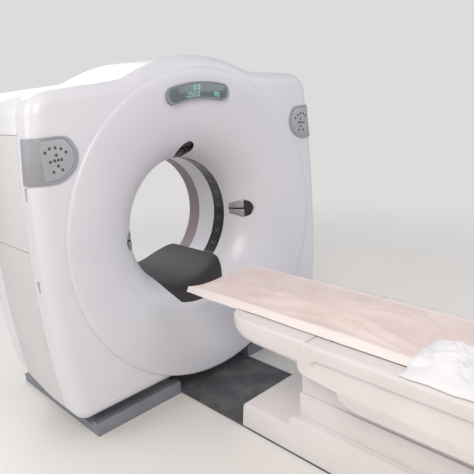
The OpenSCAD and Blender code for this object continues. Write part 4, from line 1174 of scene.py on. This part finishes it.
# folded sheet at the foot end
heap = {"x": (-296, -22), "y": (-1592, -1962), "rise": 44, "thick": 1.4, "across": 110, "along": 130,
        # height of the deck under it, how much higher the sheet on the cradle is, and where it steps up
        "deck": 603, "step": 24, "edge": (-234, 24),
        # soft creases: height, distance apart, direction in radians, shift
        "creases": [(15, 118, 0.6, 1.3), (5, 61, 0.2, 6.1)]}


def foldRidge(x, y, wide, turn, shift):
    # a soft crest line: 1 on the crest, 0 between crests
    along, off = x * math.sin(turn) + y * math.cos(turn), x * math.cos(turn) - y * math.sin(turn)
    bend = rippled(x / 90, y / 90, shift) * 1.7
    return max(0, 1 - abs(2 * ((off / wide + bend + along / 900) % 1) - 1)) ** 1.4


def makeFoldedSheet():
    # a sheet gathered in a heap, slumped over the edge of the cradle onto the deck
    h = heap
    across, along = h["across"], h["along"]
    (x0, x1), (y0, y1) = h["x"], h["y"]
    points = []
    for i in range(along + 1):
        v = i / along
        for j in range(across + 1):
            u = j / across
            x = x0 + (x1 - x0) * u + 9 * rippled(v * 5, 3, 8) * (1 - u)
            y = y0 + (y1 - y0) * v + 16 * rippled(u * 4, 9, 2) * (1 - v)
            sides, ends = min(1, min(u, 1 - u) / 0.28), min(1, v / 0.42, (1 - v) / 0.2)
            body = (sides * (2 - sides)) ** 0.7 * (ends * (2 - ends)) ** 0.8
            ground = h["deck"] + h["step"] * eased(min(max((x - h["edge"][0]) / h["edge"][1], 0), 1))
            folds = sum(high * foldRidge(x, y, *shape) for high, *shape in h["creases"])
            folds += 2 * rippled(x / 40, y / 50, 4)
            rim = 1.6 * abs(rippled(x / 30, y / 30, 11))
            rise = h["rise"] * (0.7 + 0.3 * rippled(x / 120, y / 120, 0)) + folds
            points.append((x, y, ground + rim + body * rise))
    faces = gridFaces(along, across)
    flat = [(p[0] * mm, p[1] * mm) for p in points]
    corners = [[Vector(points[k]) for k in f] for f in faces]
    area = sum((c - a).cross(d - b).length / 2 for a, b, c, d in corners) * mm * mm
    length = abs(y1 - y0) * mm
    return clothPiece("foldedSheet", points, faces, flat, made["cottonWhite"], h["thick"]), (area / length, length)


sheetPiece, sheetHalf = makeSheet()
ready(smoothed(sheetPiece, 60), "bed", "linen", "sheet")
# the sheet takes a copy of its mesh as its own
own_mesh(sheetPiece)
foldPiece, foldFlat = makeFoldedSheet()
ready(smoothed(foldPiece, 60), "bed", "linen", "folded_sheet")
print("cloth laid")

# finishes of the pieces kept from the CAD
keptFinishes = {
    "machinedSteel": ["left_trunnion_bearing", "right_trunnion_bearing", "main_bearing", "table_chassis",
                      "drive_motor", "drive_pulley"],
    "frameCoat": ["tilt_frame", "table_base"],
    "housingPaint": ["cradle_motor", "brush_block", "collimator", "inverter"],
    "milledAlloy": ["rotor_drum", "xray_tube", "high_voltage_tank"],
    "blackHousing": ["detector_array", "left_fan_frame", "right_fan_frame", "left_fan", "right_fan"],
    "trackCopper": ["slip_ring"],
    "beltRubber": ["drive_belt"],
}
for finish, nodes in keptFinishes.items():
    for node in nodes:
        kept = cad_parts[node]
        kept.data.materials.clear()
        kept.data.materials.append(made[finish])
print("CAD pieces dressed")

# studio: colours, strength of the world's light, where the floor fades (m), lamps as (place, size, power, tint)
studio = {"floor": "#e6e3e0", "air": "#dddcdb", "world": 0.54, "fade": (1.6, 4.6), "floorHalf": 60000,
          "aim": (0, -700, 700),
          "lamps": [((-2600, -2600, 3300), 1.8, 80, "#fff6ee"), ((2600, -2900, 2600), 2.4, 28, "#f1f4ff"),
                    ((-2800, 900, 2500), 2.0, 26, "#ffffff"), ((400, 2900, 3000), 2.2, 40, "#ffffff")]}


def paleFarOff(material):
    # far from the object the floor turns into the plain pale air, so that no horizon shows
    tree = material.node_tree
    place = addNode(tree, "ShaderNodeTexCoord").outputs["Object"]
    far = addNode(tree, "ShaderNodeVectorMath", {"operation": "LENGTH"}, {0: place})
    fade = mapped(tree, far.outputs["Value"], *studio["fade"], interpolation_type="SMOOTHSTEP")
    path = addNode(tree, "ShaderNodeLightPath").outputs
    share = maths(tree, "MULTIPLY", fade, maths(tree, "MAXIMUM", path["Is Camera Ray"], path["Is Transmission Ray"]))
    air = addNode(tree, "ShaderNodeEmission", {"Color": colour(studio["air"]), "Strength": 1.0})
    own = tree.nodes["Principled BSDF"].outputs[0]
    mix = addNode(tree, "ShaderNodeMixShader", None, {0: share, 1: own, 2: air.outputs[0]})
    tree.links.new(mix.outputs[0], tree.nodes["Material Output"].inputs["Surface"])


def makeStudio():
    half = studio["floorHalf"]
    corners = [(-half, -half, -0.5), (half, -half, -0.5), (half, half, -0.5), (-half, half, -0.5)]
    floor = newPiece("floor", corners, [(0, 1, 2, 3)], None)
    material = surface("floorVinyl", studio["floor"], studio["floor"], dull=(0.6, 0.7))
    paleFarOff(material)
    floor.data.materials.append(material)
    world = bpy.data.worlds.new("studioAir")
    bpy.context.scene.world = world
    world.use_nodes = True
    tree = world.node_tree
    light = tree.nodes["Background"]
    light.inputs["Color"].default_value = colour("#ffffff")
    light.inputs["Strength"].default_value = studio["world"]
    path = addNode(tree, "ShaderNodeLightPath")
    air = addNode(tree, "ShaderNodeBackground", {"Color": colour(studio["air"]), "Strength": 1.0})
    mix = addNode(tree, "ShaderNodeMixShader", None, {0: path.outputs["Is Camera Ray"], 1: light.outputs[0],
                                                      2: air.outputs[0]})
    tree.links.new(mix.outputs[0], tree.nodes["World Output"].inputs["Surface"])
    for place, size, power, tint in studio["lamps"]:
        data = bpy.data.lights.new("softLamp", "AREA")
        data.size = size
        data.energy = power
        data.color = colour(tint)[:3]
        lamp = placed("softLamp", data)
        lamp.location = Vector(place) * mm
        lamp.rotation_euler = (Vector(studio["aim"]) - Vector(place)).to_track_quat("-Z", "Y").to_euler()
    bpy.context.scene.view_settings.view_transform = "Standard"


makeStudio()
print("studio ready")
